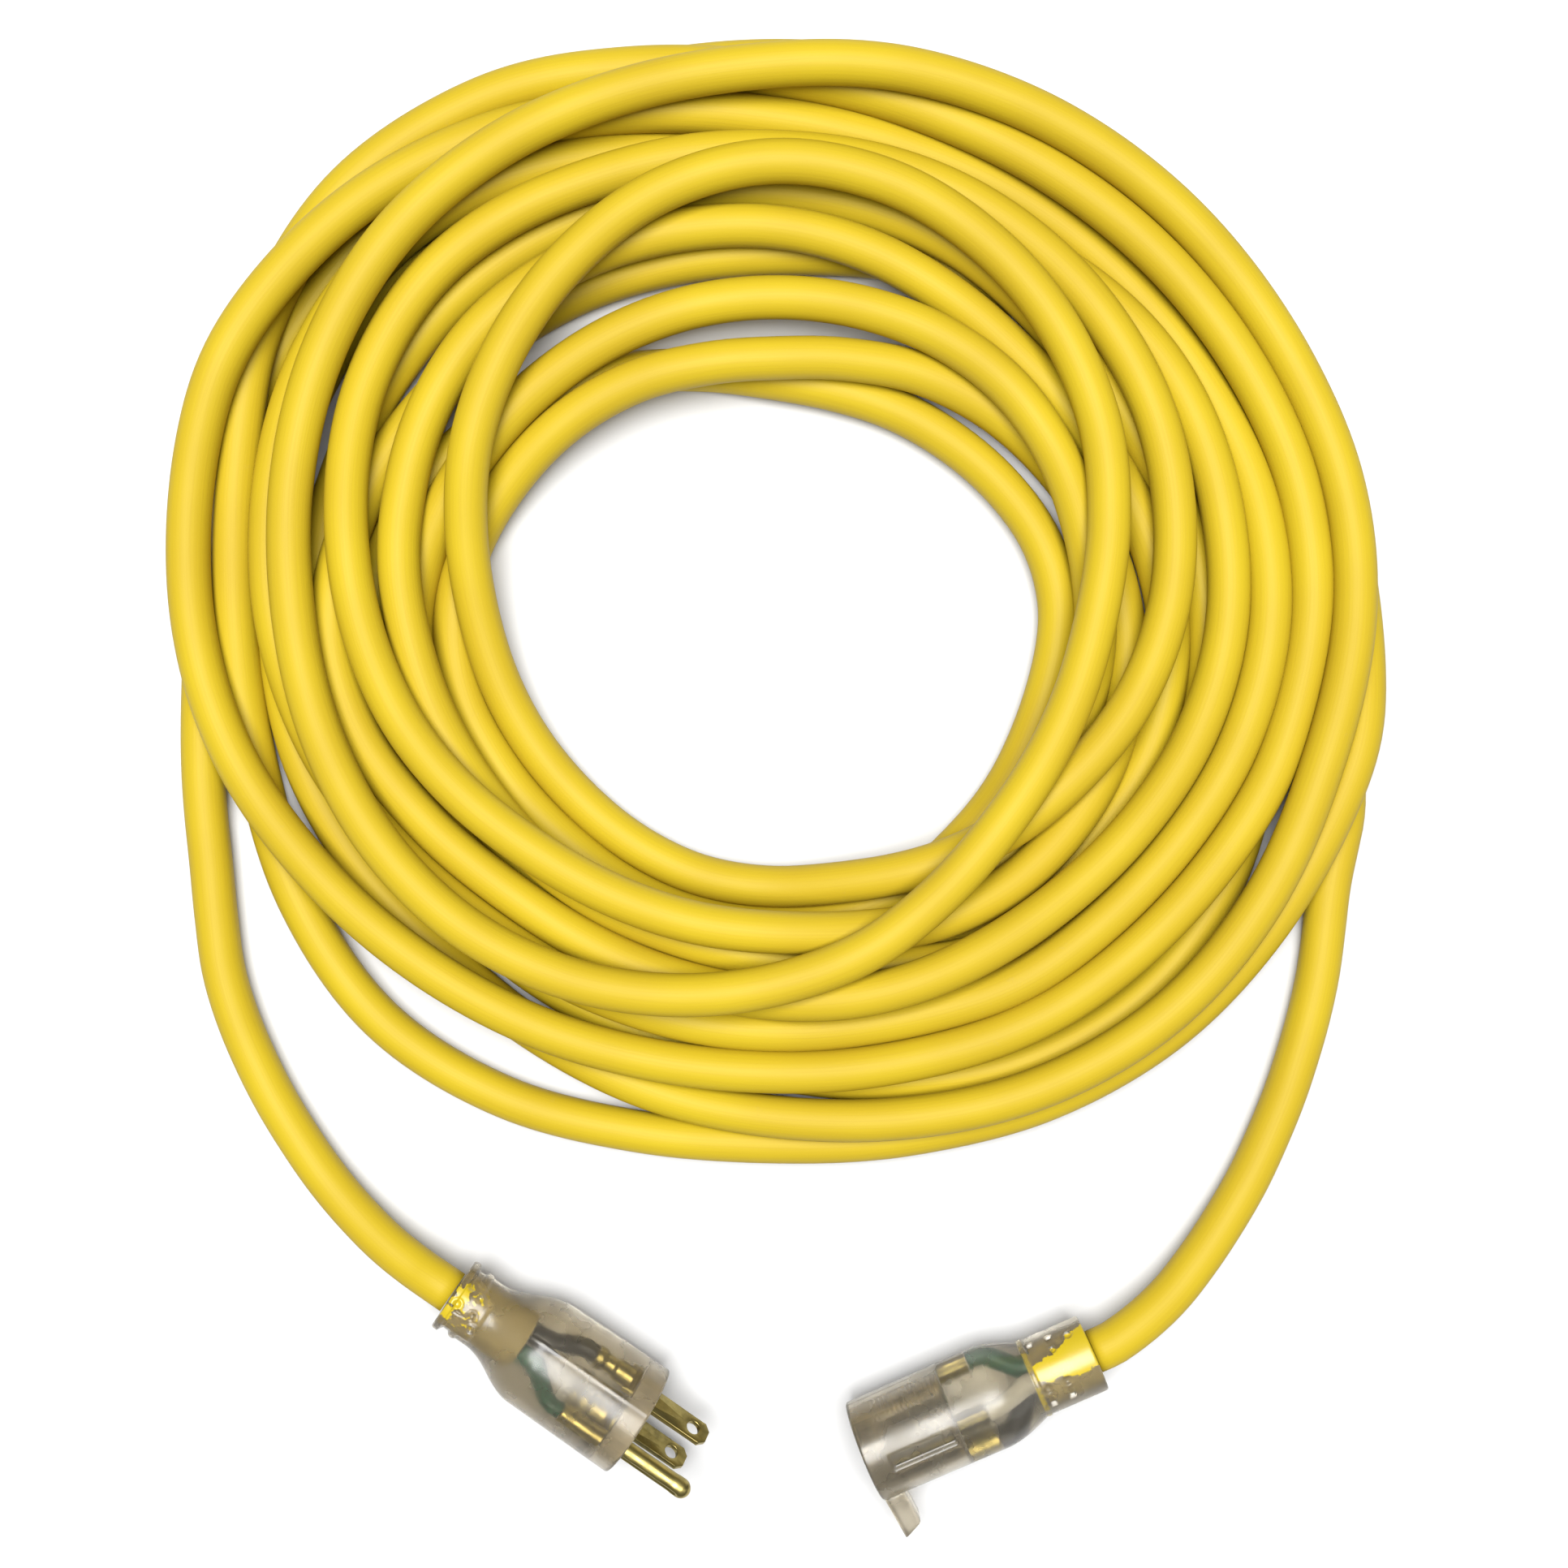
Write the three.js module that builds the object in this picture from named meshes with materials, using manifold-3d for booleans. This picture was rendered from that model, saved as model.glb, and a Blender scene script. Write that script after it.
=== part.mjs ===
// Heavy-duty three-conductor extension cord: a wound coil with both tails laid out in front of it,
// a clear moulded plug on one tail and a clear moulded connector on the other.
// Millimetres, +Z up. The object lies on the plane Z = 0, centred on its own outline.
import * as THREE from 'three';
import { mergeVertices } from 'three/addons/utils/BufferGeometryUtils.js';
import Module from 'manifold-3d';

const wasm = await Module();
wasm.setup();

// ---- Driving dimensions ----------------------------------------------------------------------------

// Fits
const CLEARANCE = 0.3;            // air between a moulding and what it holds, and between butted faces
const OVERCUT = 1;                // how far a cutting tool runs past the face that it opens
const MERGE_DISTANCE = 1e-4;      // corners nearer than this are one corner

// Cord
const CORD_DIAMETER = 11;         // outer diameter of the jacket
const CORD_SIDES = 10;
const CORE_DIAMETER = 4;          // one insulated conductor
const CORE_LAY_RADIUS = 2.55;     // where the three conductors lie round the cord's axis
const COPPER_DIAMETER = 2.4;      // bared strands of one conductor
const TAIL_STEPS = 15;            // rings along a tail
const CORE_SIDES = 12;
const CORE_STEPS = 8;             // rings along a conductor inside a moulding

// Coil: the outer shape of the wound turns
const COIL_RADIUS = 154;          // to the outside of the outermost turn, across
const COIL_HOLE_RADIUS = 75;
const COIL_OVALNESS = 0.933;      // depth of the oval coil for its width
const COIL_LAYERS = 3;            // strands piled on each other at the crossings
const COIL_FOOT_RADIUS = CORD_DIAMETER / 2;        // rounding of the ring's lower edges
const COIL_SHOULDER_RADIUS = 1.5 * CORD_DIAMETER;  // rounding of its upper edges
const COIL_ARC_POINTS = 3;
const COIL_SEGMENTS = 48;

// Pins and contacts, on the 15 A grounding pattern
const BLADE_SPACING = 12.7;       // between the blades' middle planes
const GROUND_OFFSET = 11.9;       // from the blades' line to the ground pin's axis
const PLUG_LINE_DROP = 2.4;       // from the plug's axis to the blades' line
const CONNECTOR_LINE_DROP = 4.5;  // from the connector's axis to the slots' line
const BLADE_WIDTH = 6.35;
const BLADE_THICKNESS = 1.5;
const BLADE_REACH = 17;           // out of the plug's face
const BLADE_TIP_CHAMFER = 1.6;
const BLADE_HOLE_DIAMETER = 3.6;
const BLADE_HOLE_REACH = 12.6;
const PIN_DIAMETER = 4.76;
const PIN_REACH = 20.2;
const PIN_DOME_STEPS = 4;

// Crimp barrels behind the pins and contacts
const BARREL_DIAMETER = 4.76;
const BARREL_BORE = COPPER_DIAMETER + 2 * CLEARANCE;
const BARREL_LENGTH = 9.5;
const BARREL_SIDES = 16;

// Plug moulding
const PLUG_LENGTH = 58;
const PLUG_RADIUS = 14.6;         // at the face
const PLUG_WAIST_RADIUS = 14.2;   // where the shoulder ends
const PLUG_NECK_RADIUS = 8.7;
const PLUG_FLANGE_RADIUS = 9.75;
const PLUG_RIB_RADIUS = 9.2;
const PLUG_GROOVE_RADIUS = 8.2;
const PLUG_FLANGE_WIDTH = 2;
const PLUG_GROOVE_WIDTH = 2.4;
const PLUG_RIB_WIDTH = 2.1;
const PLUG_NECK_CHAMFER = 0.5;    // slope between flange, groove, rib and neck
const PLUG_SHOULDER_START = 9.5;  // from the cord end
const PLUG_SHOULDER_LENGTH = 18;
const PLUG_JACKET_DEPTH = 23.5;   // how far the cord's jacket runs inside
const BRIDGE_THICKNESS = 6;
const BRIDGE_RADIUS = 12.8;
const PLUG_ROOT_DEPTH = 9;        // where a pin ends and its barrel's bore begins, behind the face

// Connector moulding
const CONNECTOR_LENGTH = 64.5;
const CONNECTOR_RADIUS = 13;
const CONNECTOR_FACE_RADIUS = 12.8;
const SLEEVE_LENGTH = 17;
const SLEEVE_RADIUS = 9.8;
const CONNECTOR_SHOULDER_LENGTH = 13;
const INSERT_DEPTH = 25;
const INSERT_RADIUS = 11.2;
const INSERT_FRONT_WALL = 5.9;    // solid front that keeps the contacts in
const CONTACT_LENGTH = 17.5;
const CONTACT_WIDTH = 7.4;
const CONTACT_THICKNESS = 4;
const CONTACT_GAP = 1.7;          // between a contact's two leaves
const CONTACT_BACK = 1.6;
const GROUND_CONTACT_DIAMETER = 6.8;
const GROUND_CONTACT_BORE = 5.1;
const SLOT_PLAY = 0.4;            // a slot or hole in the face is this much larger than its pin
const TAB_LENGTH = 10.5;
const TAB_THICKNESS = 5.6;
const TAB_TIP_THICKNESS = 5.2;
const TAB_WIDTH = 9;
const TAB_LEAN = 1.2;             // how far its tip leans back from the face
const TAB_ROOT = 1.3;             // how deep the tab's foot runs into the body's wall
const SLEEVE_CHAMFER = [0.5, 0.3]; // along and across, at the sleeve's cord end
const SHOULDER_STEPS = 8;         // rings along a moulding's shoulder
const TURNED_SIDES = 32;          // facets round a moulding
const ROUND_SIDES = 20;           // facets round the jacket's end and the ground contact
const BORE_SIDES = 12;            // facets in a barrel's bore
const COPPER_SIDES = 10;

// Colours of the finishes: colour, roughness, metalness
const YELLOW_PVC = [0xf5c71a, 0.45, 0];
const CLEAR_PVC = [0xc9c6b4, 0.35, 0];
const BRASS = [0x8f8138, 0.3, 1];
const COPPER = [0xb87333, 0.35, 1];
const BLACK_PVC = [0x1c1917, 0.5, 0];
const WHITE_PVC = [0xe6e0cc, 0.5, 0];
const GREEN_PVC = [0x1d6b4a, 0.5, 0];

// ---- Places, from the coil's centre, +X right and +Y away from the plug and connector ---------------

const PLUG_FACE = [-36.9, -211.2];
const PLUG_HEADING = -34.6;       // degrees about +Z that the plug's nose points to
const PLUG_ROLL = 32;             // degrees about its own axis, ground pin up and outward
const CONNECTOR_FACE = [22.1, -219.8];
const CONNECTOR_HEADING = 203.5;
const CONNECTOR_ROLL = 125;
const TAB_TURN = 90 - CONNECTOR_ROLL;             // degrees from the poles' line that keep the tab level
const BUTT_LENGTH = 4;            // a tail's last stretch, straight on its moulding's axis

const LAY_GAP = 0.05;             // the cord's facets stay this far off the floor
const FLOOR_LINE = CORD_DIAMETER / 2 + LAY_GAP;    // height of the cord's axis where it lies on the floor

// Hand-chosen routes of the two tails, each from the coil's side to about its moulding: x, y, z
const PLUG_TAIL = [
  [-152.4, -47.5, FLOOR_LINE],
  [-151.8, -55, FLOOR_LINE],
  [-150.6, -66.5, FLOOR_LINE],
  [-149.2, -81, FLOOR_LINE],
  [-147, -96.5, FLOOR_LINE],
  [-143.6, -107.8, FLOOR_LINE],
  [-139.2, -118.4, FLOOR_LINE],
  [-133.8, -129.2, FLOOR_LINE],
  [-127.4, -139.6, FLOOR_LINE + 0.3],
  [-119.6, -150.4, FLOOR_LINE + 1],
  [-111, -159.8, FLOOR_LINE + 2.4],
  [-102.4, -167.2, FLOOR_LINE + 4.6],
  [-93.6, -173, FLOOR_LINE + 7],
];
const CONNECTOR_TAIL = [
  [148.6, -56.5, FLOOR_LINE],
  [147, -64, FLOOR_LINE],
  [145.2, -73, FLOOR_LINE],
  [143.8, -84.6, FLOOR_LINE],
  [142.2, -96.5, FLOOR_LINE],
  [139.8, -107.6, FLOOR_LINE],
  [136.8, -118.2, FLOOR_LINE],
  [133.2, -129, FLOOR_LINE],
  [128.8, -139.6, FLOOR_LINE + 0.2],
  [123.6, -150.4, FLOOR_LINE + 0.7],
  [117, -161.2, FLOOR_LINE + 1.6],
  [109.6, -171.4, FLOOR_LINE + 3],
  [101.6, -180.4, FLOOR_LINE + 4.8],
  [92.4, -187.8, FLOOR_LINE + 6.7],
];

// ---- Solids ------------------------------------------------------------------------------------------

/** The closed body of a geometry, with shared corners merged and its faces turned outwards. */
function solid(geometry) {
  const bare = geometry.clone();
  bare.deleteAttribute('normal');
  bare.deleteAttribute('uv');
  const merged = mergeVertices(bare, MERGE_DISTANCE);
  const spots = merged.attributes.position.array;
  const corners = merged.index.array;
  const kept = [];
  let volume = 0;
  for (let i = 0; i < corners.length; i += 3) {
    const [a, b, c] = [corners[i], corners[i + 1], corners[i + 2]];
    if (a === b || b === c || c === a) continue;
    kept.push(a, b, c);
    const p = new THREE.Vector3().fromArray(spots, 3 * a);
    const q = new THREE.Vector3().fromArray(spots, 3 * b);
    const r = new THREE.Vector3().fromArray(spots, 3 * c);
    volume += p.dot(q.cross(r));
  }
  if (volume < 0) kept.reverse();
  return new wasm.Manifold(new wasm.Mesh({
    numProp: 3,
    vertProperties: Float32Array.from(spots),
    triVerts: Uint32Array.from(kept),
  }));
}

/** Several solids as one. */
function join(...solids) {
  return solids.reduce((whole, next) => whole.add(next));
}

/** A solid with others cut out of it. */
function cut(whole, ...tools) {
  return tools.reduce((left, tool) => left.subtract(tool), whole);
}

/** A body turned about the X axis from a profile of [x, radius] pairs that starts and ends on the axis. */
function turned(profile, sides) {
  const points = profile.map(([x, radius]) => new THREE.Vector2(radius, x));
  return solid(new THREE.LatheGeometry(points, sides).rotateZ(-Math.PI / 2));
}

/** A round bar along X from x0 to x1 with its axis at (y, z). */
function bar(diameter, x0, x1, [y, z], sides = BARREL_SIDES) {
  const geometry = new THREE.CylinderGeometry(diameter / 2, diameter / 2, x1 - x0, sides);
  return solid(geometry.rotateZ(-Math.PI / 2).translate((x0 + x1) / 2, y, z));
}

/** A rectangular block between x0 and x1, centred on (y, z). */
function block(x0, x1, [y, z], width, height) {
  const geometry = new THREE.BoxGeometry(x1 - x0, width, height);
  return solid(geometry.translate((x0 + x1) / 2, y, z));
}

/** A round tube of one diameter along a smooth curve through the points. */
function tube(points, diameter, sides, steps) {
  const places = points.map((point) => new THREE.Vector3(...point));
  const path = new THREE.CatmullRomCurve3(places, false, 'centripetal');
  const corner = (index) => {
    const angle = 2 * Math.PI * index / sides;
    return new THREE.Vector2(diameter / 2 * Math.cos(angle), diameter / 2 * Math.sin(angle));
  };
  const outline = new THREE.Shape(Array.from({ length: sides }, (_, index) => corner(index)));
  return solid(new THREE.ExtrudeGeometry(outline, { extrudePath: path, steps, bevelEnabled: false }));
}

/** A named mesh of a solid in one finish. */
function piece(name, body, [color, roughness, metalness]) {
  const mesh = body.getMesh();
  const geometry = new THREE.BufferGeometry();
  geometry.setAttribute('position', new THREE.BufferAttribute(mesh.vertProperties, 3));
  geometry.setIndex(new THREE.BufferAttribute(mesh.triVerts, 1));
  geometry.computeVertexNormals();
  const result = new THREE.Mesh(geometry, new THREE.MeshStandardMaterial({ color, roughness, metalness }));
  result.name = name;
  return result;
}

// ---- The three poles, seen along a moulding's axis: ground at the top -------------------------------

/** Each pole's place as [y, z], and the angle where its conductor lies round the cord's axis. */
function polesAt(drop) {
  return {
    ground: { at: [0, GROUND_OFFSET - drop], lay: 90 },
    left: { at: [-BLADE_SPACING / 2, -drop], lay: 210 },
    right: { at: [BLADE_SPACING / 2, -drop], lay: -30 },
  };
}

const PLUG_POLES = polesAt(PLUG_LINE_DROP);
const CONNECTOR_POLES = polesAt(CONNECTOR_LINE_DROP);

/** Where a conductor leaves the jacket on its way to a pole: the same way round as the poles. */
function layPoint(pole) {
  const turn = THREE.MathUtils.degToRad(pole.lay);
  return [CORE_LAY_RADIUS * Math.cos(turn), CORE_LAY_RADIUS * Math.sin(turn)];
}

/** A conductor from the jacket's cut end to its barrel; spare makes it longer and fatter, to cut with. */
function conductor(pole, start, end, spare = 0) {
  const [y0, z0] = layPoint(pole);
  const [y1, z1] = pole.at;
  const span = end - start;
  const points = [
    [start - 2 * spare, y0, z0],
    [start + 0.2 * span, y0, z0],
    [start + 0.5 * span, (y0 + y1) / 2, (z0 + z1) / 2],
    [end - 0.2 * span, y1, z1],
    [end + 2 * spare, y1, z1],
  ];
  return tube(points, CORE_DIAMETER + 2 * spare, CORE_SIDES, CORE_STEPS);
}

/** The jacket end, the three conductors and their copper ends of one moulding, and the pockets they need. */
function wiring(prefix, length, jacketDepth, barrelBack, poles) {
  const jacketEnd = -length + jacketDepth;
  const coreStart = jacketEnd + CLEARANCE;
  const coreEnd = barrelBack - CLEARANCE;
  const pieces = [
    piece(`${prefix}_jacket_end`, bar(CORD_DIAMETER, -length, jacketEnd, [0, 0], ROUND_SIDES), YELLOW_PVC),
  ];
  const pockets = [
    bar(CORD_DIAMETER + 2 * CLEARANCE, -length - OVERCUT, coreStart, [0, 0], ROUND_SIDES),
  ];
  for (const [colour, pole, finish] of poles) {
    const copperEnd = barrelBack + BARREL_LENGTH - CLEARANCE;
    pieces.push(piece(`${prefix}_${colour}_conductor`, conductor(pole, coreStart, coreEnd), finish));
    const copper = bar(COPPER_DIAMETER, barrelBack, copperEnd, pole.at, COPPER_SIDES);
    pieces.push(piece(`${prefix}_${colour}_copper`, copper, COPPER));
    pockets.push(conductor(pole, coreStart, coreEnd, CLEARANCE));
  }
  return { pieces, pockets };
}

// ---- Plug: axis along X, cord end at -PLUG_LENGTH, face at x = 0 ------------------------------------

/** A flat blade with a chamfered tip, a hole and its crimp barrel; spare fattens it into a cutting tool. */
function blade({ at: [y, z] }, spare = 0) {
  const half = BLADE_WIDTH / 2 + spare;
  const thickness = BLADE_THICKNESS + 2 * spare;
  const outline = new THREE.Shape();
  outline.moveTo(-PLUG_ROOT_DEPTH, -half);
  outline.lineTo(BLADE_REACH - BLADE_TIP_CHAMFER, -half);
  outline.lineTo(BLADE_REACH, -half + BLADE_TIP_CHAMFER);
  outline.lineTo(BLADE_REACH, half - BLADE_TIP_CHAMFER);
  outline.lineTo(BLADE_REACH - BLADE_TIP_CHAMFER, half);
  outline.lineTo(-PLUG_ROOT_DEPTH, half);
  const plate = new THREE.ExtrudeGeometry(outline, { depth: thickness, bevelEnabled: false });
  plate.translate(0, 0, -thickness / 2).rotateX(Math.PI / 2).translate(0, y, z);
  const back = -PLUG_ROOT_DEPTH - BARREL_LENGTH;
  const front = -PLUG_ROOT_DEPTH + BLADE_THICKNESS;
  const barrel = bar(BARREL_DIAMETER + 2 * spare, back - spare, front, [y, z]);
  if (spare > 0) return join(solid(plate), barrel);
  const eyeRadius = BLADE_HOLE_DIAMETER / 2;
  const eye = new THREE.CylinderGeometry(eyeRadius, eyeRadius, 4 * BLADE_THICKNESS, BARREL_SIDES);
  const bore = bar(BARREL_BORE, back - OVERCUT, -PLUG_ROOT_DEPTH, [y, z], BORE_SIDES);
  return cut(join(solid(plate), barrel), solid(eye.translate(BLADE_HOLE_REACH, y, z)), bore);
}

/** The round ground pin with a domed tip and its crimp barrel; spare fattens it into a cutting tool. */
function groundPin({ at: [y, z] }, spare = 0) {
  const radius = PIN_DIAMETER / 2 + spare;
  const back = -PLUG_ROOT_DEPTH - BARREL_LENGTH - spare;
  const profile = [[back, 0], [back, radius]];
  for (let step = 0; step <= PIN_DOME_STEPS; step += 1) {
    const angle = step / PIN_DOME_STEPS * Math.PI / 2;
    const atTip = step === PIN_DOME_STEPS;
    profile.push([PIN_REACH - radius + radius * Math.sin(angle), atTip ? 0 : radius * Math.cos(angle)]);
  }
  const pin = turned(profile, BARREL_SIDES).translate([0, y, z]);
  if (spare > 0) return pin;
  return cut(pin, bar(BARREL_BORE, back - OVERCUT, -PLUG_ROOT_DEPTH, [y, z], BORE_SIDES));
}

function makePlug() {
  const length = PLUG_LENGTH;
  const flangeEnd = -length + PLUG_FLANGE_WIDTH;
  const grooveEnd = flangeEnd + PLUG_GROOVE_WIDTH;
  const ribEnd = grooveEnd + PLUG_RIB_WIDTH;
  const profile = [
    [-length, 0],
    [-length, PLUG_FLANGE_RADIUS],
    [flangeEnd, PLUG_FLANGE_RADIUS],
    [flangeEnd + PLUG_NECK_CHAMFER, PLUG_GROOVE_RADIUS],
    [grooveEnd, PLUG_GROOVE_RADIUS],
    [grooveEnd + PLUG_NECK_CHAMFER, PLUG_RIB_RADIUS],
    [ribEnd, PLUG_RIB_RADIUS],
    [ribEnd + PLUG_NECK_CHAMFER, PLUG_NECK_RADIUS],
  ];
  for (let step = 0; step <= SHOULDER_STEPS; step += 1) {
    const share = step / SHOULDER_STEPS;
    const rise = (1 - Math.cos(Math.PI * share)) / 2;
    profile.push([
      -length + PLUG_SHOULDER_START + share * PLUG_SHOULDER_LENGTH,
      PLUG_NECK_RADIUS + rise * (PLUG_WAIST_RADIUS - PLUG_NECK_RADIUS),
    ]);
  }
  profile.push([0, PLUG_RADIUS], [0, 0]);

  const barrelBack = -PLUG_ROOT_DEPTH - BARREL_LENGTH;
  const poles = [
    ['black', PLUG_POLES.right, BLACK_PVC],
    ['white', PLUG_POLES.left, WHITE_PVC],
    ['green', PLUG_POLES.ground, GREEN_PVC],
  ];
  const { pieces, pockets } = wiring('plug', length, PLUG_JACKET_DEPTH, barrelBack, poles);
  const pinPockets = [
    blade(PLUG_POLES.right, CLEARANCE),
    blade(PLUG_POLES.left, CLEARANCE),
    groundPin(PLUG_POLES.ground, CLEARANCE),
  ];
  const bridge = bar(2 * BRIDGE_RADIUS, -BRIDGE_THICKNESS, 0, [0, 0], TURNED_SIDES);
  const bridgePocket = bar(2 * (BRIDGE_RADIUS + CLEARANCE), -BRIDGE_THICKNESS - CLEARANCE, OVERCUT,
    [0, 0], TURNED_SIDES);

  const body = cut(turned(profile, TURNED_SIDES), bridgePocket, ...pockets, ...pinPockets);

  const group = new THREE.Group();
  group.add(
    piece('plug_body', body, CLEAR_PVC),
    piece('plug_bridge', cut(bridge, ...pinPockets), CLEAR_PVC),
    piece('plug_hot_blade', blade(PLUG_POLES.right), BRASS),
    piece('plug_neutral_blade', blade(PLUG_POLES.left), BRASS),
    piece('plug_ground_pin', groundPin(PLUG_POLES.ground), BRASS),
    ...pieces,
  );
  return group;
}

// ---- Connector: axis along X, cord end at -CONNECTOR_LENGTH, face at x = 0 --------------------------

const CONTACT_FRONT = -INSERT_FRONT_WALL - CLEARANCE;
const CONTACT_REAR = CONTACT_FRONT - CONTACT_LENGTH;

/** A folded contact of two leaves with a crimp barrel; spare fattens it into a cutting tool. */
function leafContact({ at: [y, z] }, spare = 0) {
  const outer = block(CONTACT_REAR - spare, CONTACT_FRONT + spare, [y, z],
    CONTACT_THICKNESS + 2 * spare, CONTACT_WIDTH + 2 * spare);
  const back = CONTACT_REAR - BARREL_LENGTH;
  const barrel = bar(BARREL_DIAMETER + 2 * spare, back - spare, CONTACT_REAR + CONTACT_BACK / 2, [y, z]);
  if (spare > 0) return join(outer, barrel);
  const gap = block(CONTACT_REAR + CONTACT_BACK, CONTACT_FRONT + OVERCUT, [y, z],
    CONTACT_GAP, CONTACT_WIDTH + OVERCUT);
  return cut(join(outer, barrel), gap, bar(BARREL_BORE, back - OVERCUT, CONTACT_REAR, [y, z], BORE_SIDES));
}

/** The ground contact's round sleeve with a crimp barrel; spare fattens it into a cutting tool. */
function sleeveContact({ at: [y, z] }, spare = 0) {
  const sleeve = bar(GROUND_CONTACT_DIAMETER + 2 * spare, CONTACT_REAR - spare, CONTACT_FRONT + spare,
    [y, z], ROUND_SIDES);
  const back = CONTACT_REAR - BARREL_LENGTH;
  const barrel = bar(BARREL_DIAMETER + 2 * spare, back - spare, CONTACT_REAR + CONTACT_BACK / 2, [y, z]);
  if (spare > 0) return join(sleeve, barrel);
  const hole = bar(GROUND_CONTACT_BORE, CONTACT_REAR + CONTACT_BACK, CONTACT_FRONT + OVERCUT,
    [y, z], ROUND_SIDES);
  return cut(join(sleeve, barrel), hole, bar(BARREL_BORE, back - OVERCUT, CONTACT_REAR, [y, z], BORE_SIDES));
}

/** The pull tab at the foot of the face, on the side away from the ground contact. */
function pullTab() {
  const root = CONNECTOR_FACE_RADIUS - TAB_ROOT;
  const tip = CONNECTOR_FACE_RADIUS + TAB_LENGTH;
  const outline = new THREE.Shape();
  outline.moveTo(0, -root);
  outline.lineTo(-TAB_THICKNESS, -root);
  outline.lineTo(-TAB_LEAN - TAB_TIP_THICKNESS, -tip + 2 * TAB_LEAN);
  outline.lineTo(-TAB_LEAN, -tip);
  const geometry = new THREE.ExtrudeGeometry(outline, { depth: TAB_WIDTH, bevelEnabled: false });
  return solid(geometry.translate(0, 0, -TAB_WIDTH / 2).rotateX(Math.PI / 2));
}

function makeConnector() {
  const bodyLength = CONNECTOR_LENGTH - SLEEVE_LENGTH;
  const profile = [
    [-CONNECTOR_LENGTH, 0],
    [-CONNECTOR_LENGTH, SLEEVE_RADIUS - SLEEVE_CHAMFER[1]],
    [-CONNECTOR_LENGTH + SLEEVE_CHAMFER[0], SLEEVE_RADIUS],
    [-bodyLength, SLEEVE_RADIUS],
  ];
  for (let step = 1; step <= SHOULDER_STEPS; step += 1) {
    const share = step / SHOULDER_STEPS;
    const rise = Math.sin(Math.PI / 2 * share);
    profile.push([
      -bodyLength + share * CONNECTOR_SHOULDER_LENGTH,
      SLEEVE_RADIUS + rise * (CONNECTOR_RADIUS - SLEEVE_RADIUS),
    ]);
  }
  profile.push([0, CONNECTOR_FACE_RADIUS], [0, 0]);

  const barrelBack = CONTACT_REAR - BARREL_LENGTH;
  const poles = [
    ['black', CONNECTOR_POLES.left, BLACK_PVC],
    ['white', CONNECTOR_POLES.right, WHITE_PVC],
    ['green', CONNECTOR_POLES.ground, GREEN_PVC],
  ];
  const { pieces, pockets } = wiring('connector', CONNECTOR_LENGTH, SLEEVE_LENGTH, barrelBack, poles);
  const contactPockets = [
    leafContact(CONNECTOR_POLES.left, CLEARANCE),
    leafContact(CONNECTOR_POLES.right, CLEARANCE),
    sleeveContact(CONNECTOR_POLES.ground, CLEARANCE),
  ];
  const slots = [CONNECTOR_POLES.left, CONNECTOR_POLES.right].map((pole) => block(
    CONTACT_FRONT, OVERCUT, pole.at, BLADE_THICKNESS + SLOT_PLAY, BLADE_WIDTH + SLOT_PLAY));
  slots.push(bar(PIN_DIAMETER + SLOT_PLAY, CONTACT_FRONT, OVERCUT, CONNECTOR_POLES.ground.at));
  const insert = bar(2 * INSERT_RADIUS, -INSERT_DEPTH, 0, [0, 0], TURNED_SIDES);
  const insertPocket = bar(2 * (INSERT_RADIUS + CLEARANCE), -INSERT_DEPTH - CLEARANCE, OVERCUT,
    [0, 0], TURNED_SIDES);
  const shell = join(turned(profile, TURNED_SIDES), pullTab().rotate([TAB_TURN, 0, 0]));

  const group = new THREE.Group();
  group.add(
    piece('connector_body', cut(shell, insertPocket, ...pockets, ...contactPockets), CLEAR_PVC),
    piece('connector_insert', cut(insert, ...contactPockets, ...slots), CLEAR_PVC),
    piece('connector_hot_contact', leafContact(CONNECTOR_POLES.left), BRASS),
    piece('connector_neutral_contact', leafContact(CONNECTOR_POLES.right), BRASS),
    piece('connector_ground_contact', sleeveContact(CONNECTOR_POLES.ground), BRASS),
    ...pieces,
  );
  return group;
}

// ---- Cord --------------------------------------------------------------------------------------------

/** The coil's outer shape: a rounded ring, drawn in to an oval, standing on the floor. */
function makeCoil() {
  const height = COIL_LAYERS * CORD_DIAMETER;
  const foot = COIL_FOOT_RADIUS;
  const shoulder = COIL_SHOULDER_RADIUS;
  const ring = new THREE.Shape();
  ring.moveTo(COIL_HOLE_RADIUS + foot, 0);
  ring.lineTo(COIL_RADIUS - foot, 0);
  ring.absarc(COIL_RADIUS - foot, foot, foot, -Math.PI / 2, 0, false);
  ring.absarc(COIL_RADIUS - shoulder, height - shoulder, shoulder, 0, Math.PI / 2, false);
  ring.absarc(COIL_HOLE_RADIUS + shoulder, height - shoulder, shoulder, Math.PI / 2, Math.PI, false);
  ring.absarc(COIL_HOLE_RADIUS + foot, foot, foot, Math.PI, 1.5 * Math.PI, false);
  const outline = ring.getPoints(COIL_ARC_POINTS);
  const geometry = new THREE.LatheGeometry(outline, COIL_SEGMENTS);
  geometry.rotateX(Math.PI / 2).scale(1, COIL_OVALNESS, 1);
  return piece('cord_coil', solid(geometry), YELLOW_PVC);
}

/** Point on a moulding's axis, off behind its cord end by a distance. */
function behind(face, heading, height, distance) {
  const turn = THREE.MathUtils.degToRad(heading);
  return [face[0] - distance * Math.cos(turn), face[1] - distance * Math.sin(turn), height];
}

/** A tail of the cord, butted square against its moulding's cord end. */
function makeTail(name, route, face, heading, height, length) {
  const back = length + CLEARANCE;
  const ending = [BUTT_LENGTH, 0].map((distance) => behind(face, heading, height, back + distance));
  return piece(name, tube([...route, ...ending], CORD_DIAMETER, CORD_SIDES, TAIL_STEPS), YELLOW_PVC);
}

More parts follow.
